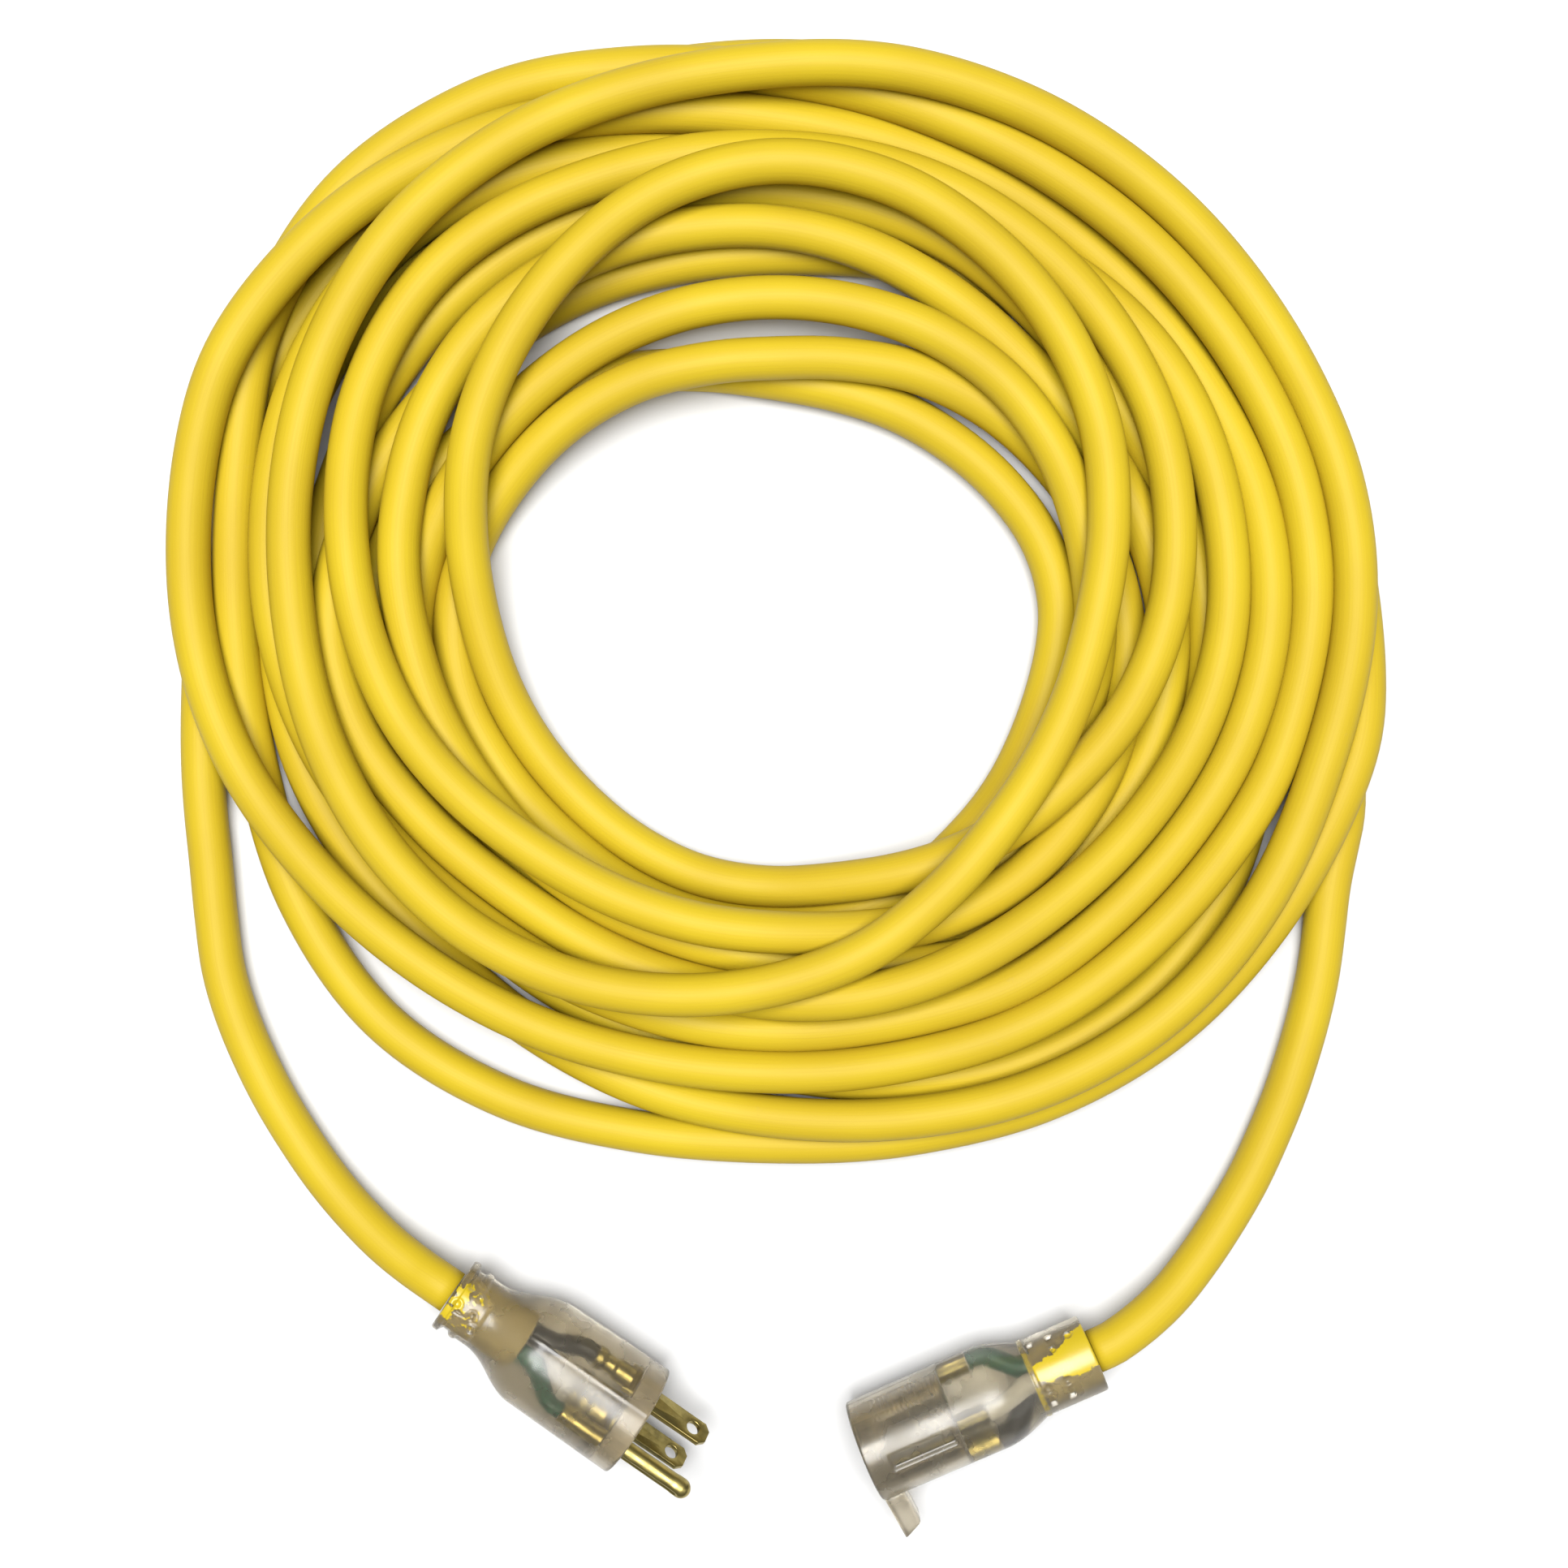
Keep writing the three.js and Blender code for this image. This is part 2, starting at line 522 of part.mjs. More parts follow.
/** A moulding turned to its roll and heading, with its axis at a height above the floor. */
function lay(group, face, heading, roll, height) {
  group.rotation.set(THREE.MathUtils.degToRad(roll), 0, 0);
  const placed = new THREE.Group();
  placed.rotation.z = THREE.MathUtils.degToRad(heading);
  placed.position.set(face[0], face[1], height);
  placed.add(group);
  return placed;
}

const cord = new THREE.Group();
cord.add(
  makeCoil(),
  makeTail('cord_tail_plug', PLUG_TAIL, PLUG_FACE, PLUG_HEADING, PLUG_RADIUS, PLUG_LENGTH),
  makeTail('cord_tail_connector', CONNECTOR_TAIL, CONNECTOR_FACE, CONNECTOR_HEADING, CONNECTOR_RADIUS,
    CONNECTOR_LENGTH),
  lay(makePlug(), PLUG_FACE, PLUG_HEADING, PLUG_ROLL, PLUG_RADIUS),
  lay(makeConnector(), CONNECTOR_FACE, CONNECTOR_HEADING, CONNECTOR_ROLL, CONNECTOR_RADIUS),
);

// Centre the whole on its outline, standing on Z = 0
cord.updateMatrixWorld(true);
const outlineBox = new THREE.Box3().setFromObject(cord, true);
const middle = outlineBox.getCenter(new THREE.Vector3());
cord.position.set(-middle.x, -middle.y, -outlineBox.min.z);

const group = new THREE.Group();
group.add(cord);

export default group;
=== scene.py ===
"""A heavy-duty extension cord, wound into a coil, with its clear moulded plug and connector in front of it.

Lengths are in metres unless a name ends in _MM. The box of model.glb's cord_coil node gives where the coil's
centre is, and the cord, the plug and the connector are placed from there.
"""
import logging
import math
from collections.abc import Callable
from dataclasses import dataclass, field
from enum import Enum

import bpy
import numpy as np
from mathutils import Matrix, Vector


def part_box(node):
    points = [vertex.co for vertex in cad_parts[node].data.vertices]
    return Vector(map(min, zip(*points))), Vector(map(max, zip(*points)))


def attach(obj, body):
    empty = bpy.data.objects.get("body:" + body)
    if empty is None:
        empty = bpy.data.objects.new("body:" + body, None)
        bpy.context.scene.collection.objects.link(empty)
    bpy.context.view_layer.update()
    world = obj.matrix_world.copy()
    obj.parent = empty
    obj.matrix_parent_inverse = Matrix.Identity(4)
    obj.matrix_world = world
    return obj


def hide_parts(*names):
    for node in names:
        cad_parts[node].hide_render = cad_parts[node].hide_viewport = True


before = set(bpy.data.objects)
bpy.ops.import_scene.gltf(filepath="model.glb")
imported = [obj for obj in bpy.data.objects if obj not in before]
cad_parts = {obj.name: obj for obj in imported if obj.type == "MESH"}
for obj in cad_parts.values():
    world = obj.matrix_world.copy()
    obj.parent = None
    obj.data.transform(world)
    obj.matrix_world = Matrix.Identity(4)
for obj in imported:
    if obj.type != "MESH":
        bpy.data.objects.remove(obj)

LOG = logging.getLogger("extension_cord")
MM = 0.001
ROOT = "root"
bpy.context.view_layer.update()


def node_centre(name: str) -> np.ndarray:
    """Middle of a CAD node's box, in metres."""
    low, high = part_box(name)
    return (np.array(low) + np.array(high)) / 2


# The coil's centre on the floor: every place below is given from it
COIL_CENTRE = node_centre("cord_coil") * (1, 1, 0)


# ---- Shaders -----------------------------------------------------------------------------------------

def math_node(operation: str, swapped: bool = False) -> Callable[..., "Field"]:
    """A method of Field that adds a Math node of one operation, with its two operands swapped or not."""
    def method(self: "Field", *others: "Field | float") -> "Field":
        """The operation's result on the socket and the other operands."""
        values = (*others, self) if swapped else (self, *others)
        return self.shader.node("ShaderNodeMath", {"operation": operation}, dict(enumerate(values)))
    return method


class Field:
    """A shader socket that takes part in Python arithmetic: each operator adds a Math node."""

    def __init__(self, shader: "Shader", socket: bpy.types.NodeSocket) -> None:
        """Wraps a socket of a shader's node tree."""
        self.shader = shader
        self.socket = socket

    __add__ = __radd__ = math_node("ADD")
    __sub__ = math_node("SUBTRACT")
    __rsub__ = math_node("SUBTRACT", swapped=True)
    __mul__ = __rmul__ = math_node("MULTIPLY")
    size = math_node("ABSOLUTE")
    least = math_node("MINIMUM")
    most = math_node("MAXIMUM")

    def step(self, start: float, end: float) -> "Field":
        """Smooth rise from 0 at start to 1 at end; end may be below start, for a fall."""
        settings = {"interpolation_type": "SMOOTHSTEP"}
        low, high, first, last = (start, end, 0.0, 1.0) if start < end else (end, start, 1.0, 0.0)
        return self.shader.node("ShaderNodeMapRange", settings, {0: self, 1: low, 2: high, 3: first, 4: last})


class Shader:
    """A material's node tree with one method that makes nodes."""

    def __init__(self, name: str) -> None:
        """Starts an empty material of a name."""
        self.material = bpy.data.materials.new(name)
        self.material.use_nodes = True
        self.tree = self.material.node_tree
        self.tree.nodes.clear()

    def node(self, kind: str, settings: dict | None = None, inputs: dict | None = None,
             output: int | str = 0) -> Field:
        """Adds a node.

        Args:
            kind: the node's type.
            settings: its properties, set before its sockets; "stops" holds a ramp's (place, colour) pairs.
            inputs: a value or a Field for each named or numbered socket.
            output: which output is wanted.

        Returns:
            The output as a Field.
        """
        made = self.tree.nodes.new(kind)
        for key, value in (settings or {}).items():
            if key == "stops":
                ramp = made.color_ramp.elements
                for index, (place, colour) in enumerate(value):
                    stop = ramp[index] if index < 2 else ramp.new(place)
                    stop.position, stop.color = place, (*colour, 1)
            else:
                setattr(made, key, value)
        for key, value in (inputs or {}).items():
            if isinstance(value, Field):
                self.tree.links.new(value.socket, made.inputs[key])
            elif isinstance(value, tuple) and made.inputs[key].type == "RGBA" and len(value) == 3:
                made.inputs[key].default_value = (*value, 1)
            else:
                made.inputs[key].default_value = value
        return Field(self, made.outputs[output])

    def coordinates(self, output: str = "Object") -> Field:
        """Object coordinates, or the piece's own UV map."""
        return self.node("ShaderNodeTexCoord", output=output)

    def own_place(self, heading: float, origin: tuple[float, float, float] = (0.0, 0.0, 0.0)) -> Field:
        """Object coordinates from an origin, turned on the floor by a heading in degrees."""
        return self.node("ShaderNodeMapping", {"vector_type": "TEXTURE"}, {
            "Vector": self.coordinates(), "Location": origin, "Rotation": (0.0, 0.0, math.radians(heading))})

    def parts(self, vector: Field) -> list[Field]:
        """A vector's X, Y and Z."""
        return [self.node("ShaderNodeSeparateXYZ", inputs={0: vector}, output=axis) for axis in range(3)]

    def noise(self, vector: Field, scale: float, detail: float = 3.0, roughness: float = 0.5) -> Field:
        """Smooth noise from 0 to 1 over a vector."""
        inputs = {"Vector": vector, "Scale": scale, "Detail": detail, "Roughness": roughness}
        return self.node("ShaderNodeTexNoise", inputs=inputs)

    def mix(self, share: Field | float, first: "tuple | Field", second: "tuple | Field") -> Field:
        """A colour between two, by a share from 0 to 1."""
        settings = {"data_type": "RGBA"}
        return self.node("ShaderNodeMix", settings, {0: share, 6: first, 7: second}, output=2)

    def stretched(self, vector: Field, scale: tuple[float, float, float]) -> Field:
        """A vector with each axis scaled by its own factor."""
        return self.node("ShaderNodeMapping", inputs={"Vector": vector, "Scale": scale})

    def bump(self, height: Field, depth: float, strength: float = 1.0) -> Field:
        """A normal bent by a height from 0 to 1, worth depth metres."""
        inputs = {"Height": height, "Distance": depth, "Strength": strength}
        return self.node("ShaderNodeBump", inputs=inputs)

    def principled(self, **values: "Field | float | tuple") -> Field:
        """A Principled shader; underscores in the names stand for spaces."""
        inputs = {key.replace("_", " "): value for key, value in values.items()}
        return self.node("ShaderNodeBsdfPrincipled", inputs=inputs)

    def blended(self, share: Field, first: Field, second: Field) -> Field:
        """A Mix Shader between two shaders."""
        return self.node("ShaderNodeMixShader", inputs={0: share, 1: first, 2: second})

    def finish(self, surface: Field) -> bpy.types.Material:
        """Puts a shader on the material's output and gives the material back."""
        output = self.tree.nodes.new("ShaderNodeOutputMaterial")
        self.tree.links.new(surface.socket, output.inputs[0])
        return self.material


# ---- Finishes ----------------------------------------------------------------------------------------

Colour = tuple[float, float, float]


def scaled(colour: Colour, share: float) -> Colour:
    """A colour with each part multiplied by a share."""
    return tuple(share * part for part in colour)


@dataclass(frozen=True)
class JacketVinyl:
    """Smooth satin vinyl of the cord's jacket, with faint drag lines along it, grain and handling marks."""

    bright: Colour = (0.440, 0.325, 0.012)
    deep: Colour = (0.375, 0.258, 0.012)
    scuff: Colour = (0.37, 0.27, 0.06)
    roughness: float = 0.46
    specular: float = 0.2
    relief_depth: float = 0.00009

    def material(self) -> bpy.types.Material:
        """The jacket's material. The UV map gives metres along the cord and the share of the way round it."""
        shader = Shader("cord_jacket_vinyl")
        place = shader.coordinates()
        along = shader.coordinates("UV")
        cloud = shader.noise(place, 22.0, 2.0)
        drag = shader.noise(shader.stretched(along, (9.0, 26.0, 1.0)), 3.0, 4.0)
        grain = shader.noise(place, 1400.0, 2.0)
        marks = shader.noise(place, 160.0, 5.0, 0.65).step(0.66, 0.74) * cloud.step(0.45, 0.65)
        colour = shader.mix(cloud.step(0.25, 0.75) * 0.6 + drag.step(0.3, 0.8) * 0.3, self.bright, self.deep)
        colour = shader.mix(marks * 0.28, colour, self.scuff)
        roughness = self.roughness + 0.10 * cloud + 0.07 * drag + 0.12 * marks
        height = drag * 0.55 + grain * 0.25 + marks * 0.2
        normal = shader.bump(height, self.relief_depth, 0.7)
        return shader.finish(shader.principled(Base_Color=colour, Roughness=roughness, Normal=normal,
                                               Specular_IOR_Level=self.specular))


@dataclass(frozen=True)
class ClearVinyl:
    """Frosted clear vinyl of a moulding, with yellow vinyl bonded to it where the jacket shows."""

    tint: Colour = (0.72, 0.65, 0.51)
    milk: Colour = (0.56, 0.50, 0.38)
    bonded: Colour = (0.47, 0.35, 0.012)
    transmission: float = 0.95
    roughness: float = 0.18
    ior: float = 1.45
    relief_depth: float = 0.00022

    def material(self, name: str, frame_of: "Moulding | None" = None) -> bpy.types.Material:
        """A clear vinyl, with a moulding's own yellow bonded patches where it has any.

        Args:
            name: the material's name.
            frame_of: the moulding whose patches the vinyl shows.

        Returns:
            The material.
        """
        shader = Shader(name)
        place = shader.coordinates()
        cloud = shader.noise(place, 90.0, 3.0)
        grain = shader.noise(place, 1100.0, 2.0)
        flow = shader.noise(shader.stretched(place, (60.0, 60.0, 220.0)), 1.0, 3.0)
        colour = shader.mix(cloud.step(0.3, 0.7) * 0.5, self.tint, self.milk)
        roughness = self.roughness + 0.16 * cloud.step(0.35, 0.75) + 0.05 * flow
        normal = shader.bump(cloud * 0.5 + grain * 0.3 + flow * 0.2, self.relief_depth, 0.2)
        clear = shader.principled(Base_Color=colour, Roughness=roughness, Normal=normal, IOR=self.ior,
                                  Transmission_Weight=self.transmission)
        if frame_of is None:
            return shader.finish(clear)
        own = shader.own_place(frame_of.heading, tuple(frame_of.origin()))
        patch = frame_of.bonded_patch(shader, own)
        yellow = shader.mix(cloud, self.bonded, scaled(self.bonded, 0.8))
        vinyl = shader.principled(Base_Color=yellow, Roughness=roughness + 0.05, Normal=normal)
        return shader.finish(shader.blended(patch, clear, vinyl))


@dataclass(frozen=True)
class PinBrass:
    """Rolled brass of pins and contacts, with drawn lines, dull stains and rubbed bright spots."""

    bright: Colour = (0.46, 0.375, 0.13)
    dull: Colour = (0.17, 0.14, 0.05)
    roughness: float = 0.24
    relief_depth: float = 0.00004

    def material(self, name: str, heading: float, dullness: float) -> bpy.types.Material:
        """Brass whose drawn lines run along a heading, in degrees; dullness is from 0 to 1."""
        shader = Shader(name)
        place = shader.coordinates()
        drawn = shader.noise(shader.stretched(shader.own_place(heading), (120.0, 2600.0, 2600.0)), 1.0, 3.0)
        stain = shader.noise(place, 240.0, 5.0, 0.62)
        colour = shader.mix((stain.step(0.35, 0.7) * 0.5 + dullness).least(1.0), self.bright, self.dull)
        roughness = self.roughness + 0.18 * stain.step(0.4, 0.7) + 0.12 * drawn
        normal = shader.bump(drawn * 0.7 + stain * 0.3, self.relief_depth, 0.6)
        return shader.finish(shader.principled(Base_Color=colour, Metallic=1.0, Roughness=roughness,
                                               Normal=normal))


@dataclass(frozen=True)
class CoreVinyl:
    """Glossy insulation of one conductor, or its bared copper strands when metallic."""

    colour: Colour
    roughness: float = 0.38
    metallic: float = 0.0
    relief_depth: float = 0.00005

    def material(self, name: str) -> bpy.types.Material:
        """The insulation's or copper's material."""
        shader = Shader(name)
        place = shader.coordinates()
        cloud = shader.noise(place, 180.0, 3.0)
        strands = shader.noise(shader.stretched(place, (900.0, 900.0, 3200.0)), 1.0, 2.0)
        colour = shader.mix(cloud * 0.5, self.colour, scaled(self.colour, 0.6))
        normal = shader.bump(cloud * 0.4 + strands * 0.6, self.relief_depth * (1 + 3 * self.metallic), 0.6)
        return shader.finish(shader.principled(Base_Color=colour, Metallic=self.metallic, Normal=normal,
                                               Roughness=self.roughness + 0.12 * cloud))


BLACK_CORE = CoreVinyl((0.006, 0.005, 0.006))
WHITE_CORE = CoreVinyl((0.62, 0.59, 0.50))
GREEN_CORE = CoreVinyl((0.006, 0.085, 0.042))
JACKET_END = CoreVinyl((0.42, 0.33, 0.13), 0.5)
BRIDGE_VINYL = ClearVinyl(tint=(0.86, 0.83, 0.75), transmission=0.5)
CONNECTOR_VINYL = ClearVinyl(tint=(0.76, 0.70, 0.57), milk=(0.60, 0.55, 0.43))
COPPER_STRANDS = CoreVinyl((0.80, 0.38, 0.20), 0.3, 1.0)


@dataclass(frozen=True)
class FloorPaint:
    """Plain white floor."""

    colour: Colour = (0.54, 0.54, 0.54)

    def material(self) -> bpy.types.Material:
        """The floor's material."""
        shader = Shader("floor_paint")
        shade = shader.noise(shader.coordinates(), 1.2, 2.0)
        colour = shader.mix(shade, self.colour, scaled(self.colour, 0.99))
        return shader.finish(shader.principled(Base_Color=colour, Roughness=0.9))


# ---- Meshes ------------------------------------------------------------------------------------------

def put_mesh(name: str, points: np.ndarray, quads: np.ndarray, fans: np.ndarray | None = None,
             uv: np.ndarray | None = None) -> bpy.types.Object:
    """Makes an object of quads and, where given, triangles.

    Args:
        name: the piece's name.
        points: its vertices, in metres, one row each.
        quads: four vertex numbers a row.
        fans: three vertex numbers a row.
        uv: two numbers for each corner of the quads and then of the fans.

    Returns:
        The object, linked to the scene, at the origin.
    """
    fans = np.zeros((0, 3), int) if fans is None else fans
    corners = np.concatenate([quads.ravel(), fans.ravel()])
    starts = np.concatenate([np.arange(len(quads)) * 4, len(quads) * 4 + np.arange(len(fans)) * 3])
    mesh = bpy.data.meshes.new(name)
    mesh.vertices.add(len(points))
    mesh.vertices.foreach_set("co", np.asarray(points, np.float32).ravel())
    mesh.loops.add(len(corners))
    mesh.loops.foreach_set("vertex_index", corners.astype(np.int32))
    mesh.polygons.add(len(starts))
    mesh.polygons.foreach_set("loop_start", starts.astype(np.int32))
    mesh.polygons.foreach_set("use_smooth", np.ones(len(starts), bool))
    if uv is not None:
        layer = mesh.uv_layers.new(name="UVMap")
        layer.data.foreach_set("uv", np.asarray(uv, np.float32).ravel())
    mesh.update(calc_edges=True)
    mesh.validate()
    made = bpy.data.objects.new(name, mesh)
    bpy.context.scene.collection.objects.link(made)
    return made


def skin(name: str, grid: np.ndarray, uv: np.ndarray | None = None) -> bpy.types.Object:
    """A closed skin over rings of points, each end closed by a fan on its ring's middle.

    Args:
        name: the piece's name.
        grid: ring, place round the ring, and x, y, z. Rings run so that their faces point outwards.
        uv: two numbers for each ring and each place round it, with the first place repeated at the end.

    Returns:
        The object.
    """
    rings, around = grid.shape[:2]
    first = np.arange(rings - 1)[:, None] * around + np.arange(around)[None, :]
    turn = np.roll(np.arange(around), -1)
    second = np.arange(rings - 1)[:, None] * around + turn[None, :]
    quads = np.stack([first, second, second + around, first + around], -1).reshape(-1, 4)
    start, end = rings * around, rings * around + 1
    last = (rings - 1) * around
    around_row = np.arange(around)
    fans = np.concatenate([
        np.stack([np.full(around, start), turn, around_row], -1),
        np.stack([np.full(around, end), last + around_row, last + turn], -1),
    ])
    points = np.concatenate([grid.reshape(-1, 3), grid[0].mean(0)[None], grid[-1].mean(0)[None]])
    low_corner, second_corner, third_corner = (points[quads[:, corner]] for corner in range(3))
    if np.einsum("ij,ij->", low_corner, np.cross(second_corner, third_corner)) < 0 and uv is None:
        quads, fans = quads[:, ::-1], fans[:, ::-1]
    corners = None
    if uv is not None:
        low, high = uv[:, :-1], uv[:, 1:]
        sides = np.stack([low[:-1], high[:-1], high[1:], low[1:]], 2).reshape(-1, 2)
        caps = [np.stack([(low[row] + high[row]) / 2, high[row] if row == 0 else low[row],
                          low[row] if row == 0 else high[row]], 1).reshape(-1, 2) for row in (0, -1)]
        corners = np.concatenate([sides, *caps])
    return put_mesh(name, points, quads, fans, corners)


def torus_skin(name: str, grid: np.ndarray) -> bpy.types.Object:
    """A closed skin over a grid that closes on itself both ways, with its faces turned outwards."""
    rows, columns = grid.shape[:2]
    row, column = np.meshgrid(np.arange(rows), np.arange(columns), indexing="ij")
    index = row * columns + column
    right, down = np.roll(index, -1, 1), np.roll(index, -1, 0)
    quads = np.stack([index, right, np.roll(right, -1, 0), down], -1).reshape(-1, 4)
    points = grid.reshape(-1, 3)
    first, second, third = (points[quads[:, corner]] for corner in range(3))
    middle = points.mean(0)
    if np.einsum("ij,ij->", first - middle, np.cross(second - middle, third - middle)) < 0:
        quads = quads[:, ::-1]
    return put_mesh(name, points, quads)


def cubic(values: np.ndarray, slope: np.ndarray, index: np.ndarray, t: np.ndarray,
          span: np.ndarray | float = 1.0) -> np.ndarray:
    """Rows between values[index] and the next ones, a share t of the way, on cubics that keep the slopes."""
    return ((2 * t**3 - 3 * t**2 + 1) * values[index] + (t**3 - 2 * t**2 + t) * span * slope[index]
            + (3 * t**2 - 2 * t**3) * values[index + 1] + (t**3 - t**2) * span * slope[index + 1])


def smooth_line(points: np.ndarray, spacing: float) -> np.ndarray:
    """Evenly spaced points on a smooth curve through the given ones.

    Between two points the curve is a cubic whose slope at each is that of the parabola through the point
    and its two neighbours, with the chord lengths as its parameter.

    Args:
        points: the points that the curve passes through.
        spacing: distance wanted between the new ones.

    Returns:
        The new points, the first and last ones included.
    """
    chord = np.concatenate([[0], np.cumsum(np.linalg.norm(np.diff(points, axis=0), axis=1))])
    slope = np.gradient(points, chord, axis=0)

    def at(place: np.ndarray) -> np.ndarray:
        """Points of the curve at given places along the chords."""
        index = np.clip(np.searchsorted(chord, place, side="right") - 1, 0, len(chord) - 2)
        span = (chord[index + 1] - chord[index])[:, None]
        t = (place - chord[index])[:, None] / span
        return cubic(points, slope, index, t, span)

    fine = np.linspace(0, chord[-1], 12 * len(points))
    line = at(fine)
    length = np.concatenate([[0], np.cumsum(np.linalg.norm(np.diff(line, axis=0), axis=1))])
    count = int(round(length[-1] / spacing)) + 1
    return at(np.interp(np.linspace(0, length[-1], count), length, fine))


def evened(rows: np.ndarray, reach: int) -> np.ndarray:
    """Rows averaged with their neighbours out to a reach, by weights that fall off in a straight line."""
    weight = np.concatenate([np.arange(1, reach + 2), np.arange(reach, 0, -1)]).astype(float)
    weight /= weight.sum()
    padded = np.pad(rows, ((reach, reach), (0, 0)), mode="edge")
    return np.stack([np.convolve(padded[:, axis], weight, "valid") for axis in range(rows.shape[1])], 1)


def turned(x: np.ndarray, radius: np.ndarray, centre: tuple[float, float] = (0.0, 0.0)) -> np.ndarray:
    """Rings along X about a centre: (x, y + r sin a, z + r cos a), with a nought at the top, rising to +Y."""
    angle = np.linspace(0, 2 * np.pi, radius.shape[1], endpoint=False)
    along = np.broadcast_to(x[:, None], radius.shape)
    return np.stack([along, centre[0] + radius * np.sin(angle), centre[1] + radius * np.cos(angle)], -1)


def tube_rings(path: np.ndarray, radius: float, around: int) -> np.ndarray:
    """Rings of a round tube along a path, each square to it.

    Ring point = path point + radius * (cos a * side + sin a * up), side being level and left of the path.
    """
    tangent = np.gradient(path, axis=0)
    tangent /= np.linalg.norm(tangent, axis=1)[:, None]
    side = np.cross(np.array([0.0, 0.0, 1.0]), tangent)
    side /= np.linalg.norm(side, axis=1)[:, None]
    up = np.cross(tangent, side)
    angle = np.linspace(0, 2 * np.pi, around, endpoint=False)
    spokes = np.cos(angle)[None, :, None] * side[:, None] + np.sin(angle)[None, :, None] * up[:, None]
    return path[:, None] + radius * spokes


# ---- Cord --------------------------------------------------------------------------------------------

@dataclass(frozen=True)
class Turn:
    """One turn of the coil, counter-clockwise from +X.

    reach is how far the cord's middle is from the winding centre at each eighth of the turn, in millimetres.
    level is how high it lies there: 1 on the floor, and 1 more for each strand that it lies on.
    """

    reach: tuple[float, ...]
    level: tuple[float, ...]


# The turns as wound, from the connector's tail to the plug's
TURNS = (
    Turn((141, 139, 136, 138, 137, 125, 131, 144), (1, 1, 1, 1, 1.3, 1.5, 2.8, 3.5)),
    Turn((147, 146, 138, 136, 124, 111, 93, 78), (3, 3, 3, 4, 3.5, 4, 4, 4)),
    Turn((81, 102, 116, 96, 78, 72, 76, 83), (4, 4, 4, 4, 2, 1, 1, 2.5)),
    Turn((101, 115, 119, 126, 106, 85, 82, 94), (3, 3, 3, 3, 3, 3, 3, 1.5)),
    Turn((92, 79, 67, 76, 91, 86, 86, 83), (1, 2, 2, 2, 1, 1, 1, 1)),
    Turn((81, 68, 65, 81, 102, 97, 98, 90), (1, 1, 1, 1, 1, 1, 1, 1)),
    Turn((84, 84, 83, 87, 96, 92, 91, 96), (2, 3, 3, 2.5, 2, 2, 2, 1)),
    Turn((103, 94, 101, 106, 95, 88, 87, 103), (2, 3, 3, 3, 2, 2, 2, 1)),
    Turn((112, 107, 117, 119, 113, 107, 117, 138), (1, 2, 2.5, 2.5, 1, 1, 1, 1)),
    Turn((129, 114, 99, 106, 118, 99, 94, 101), (1, 1, 2, 1.5, 2, 2, 3, 3)),
    Turn((117, 121, 126, 140, 128, 108, 104, 112), (2.5, 2, 2, 2.5, 3, 3, 2.5, 3)),
    Turn((128, 127, 130, 150, 149, 126, 114, 123), (3, 2.5, 2.5, 2.8, 3, 4, 3.5, 3.5)),
    Turn((140, 137, 139, 157, 139, 147, 135, 148), (2.5, 2.5, 2, 1.5, 1, 1.5, 1, 1.5)),
    Turn((150, 149, 147, 148, 150), (1.2, 1, 1, 1, 1)),
)


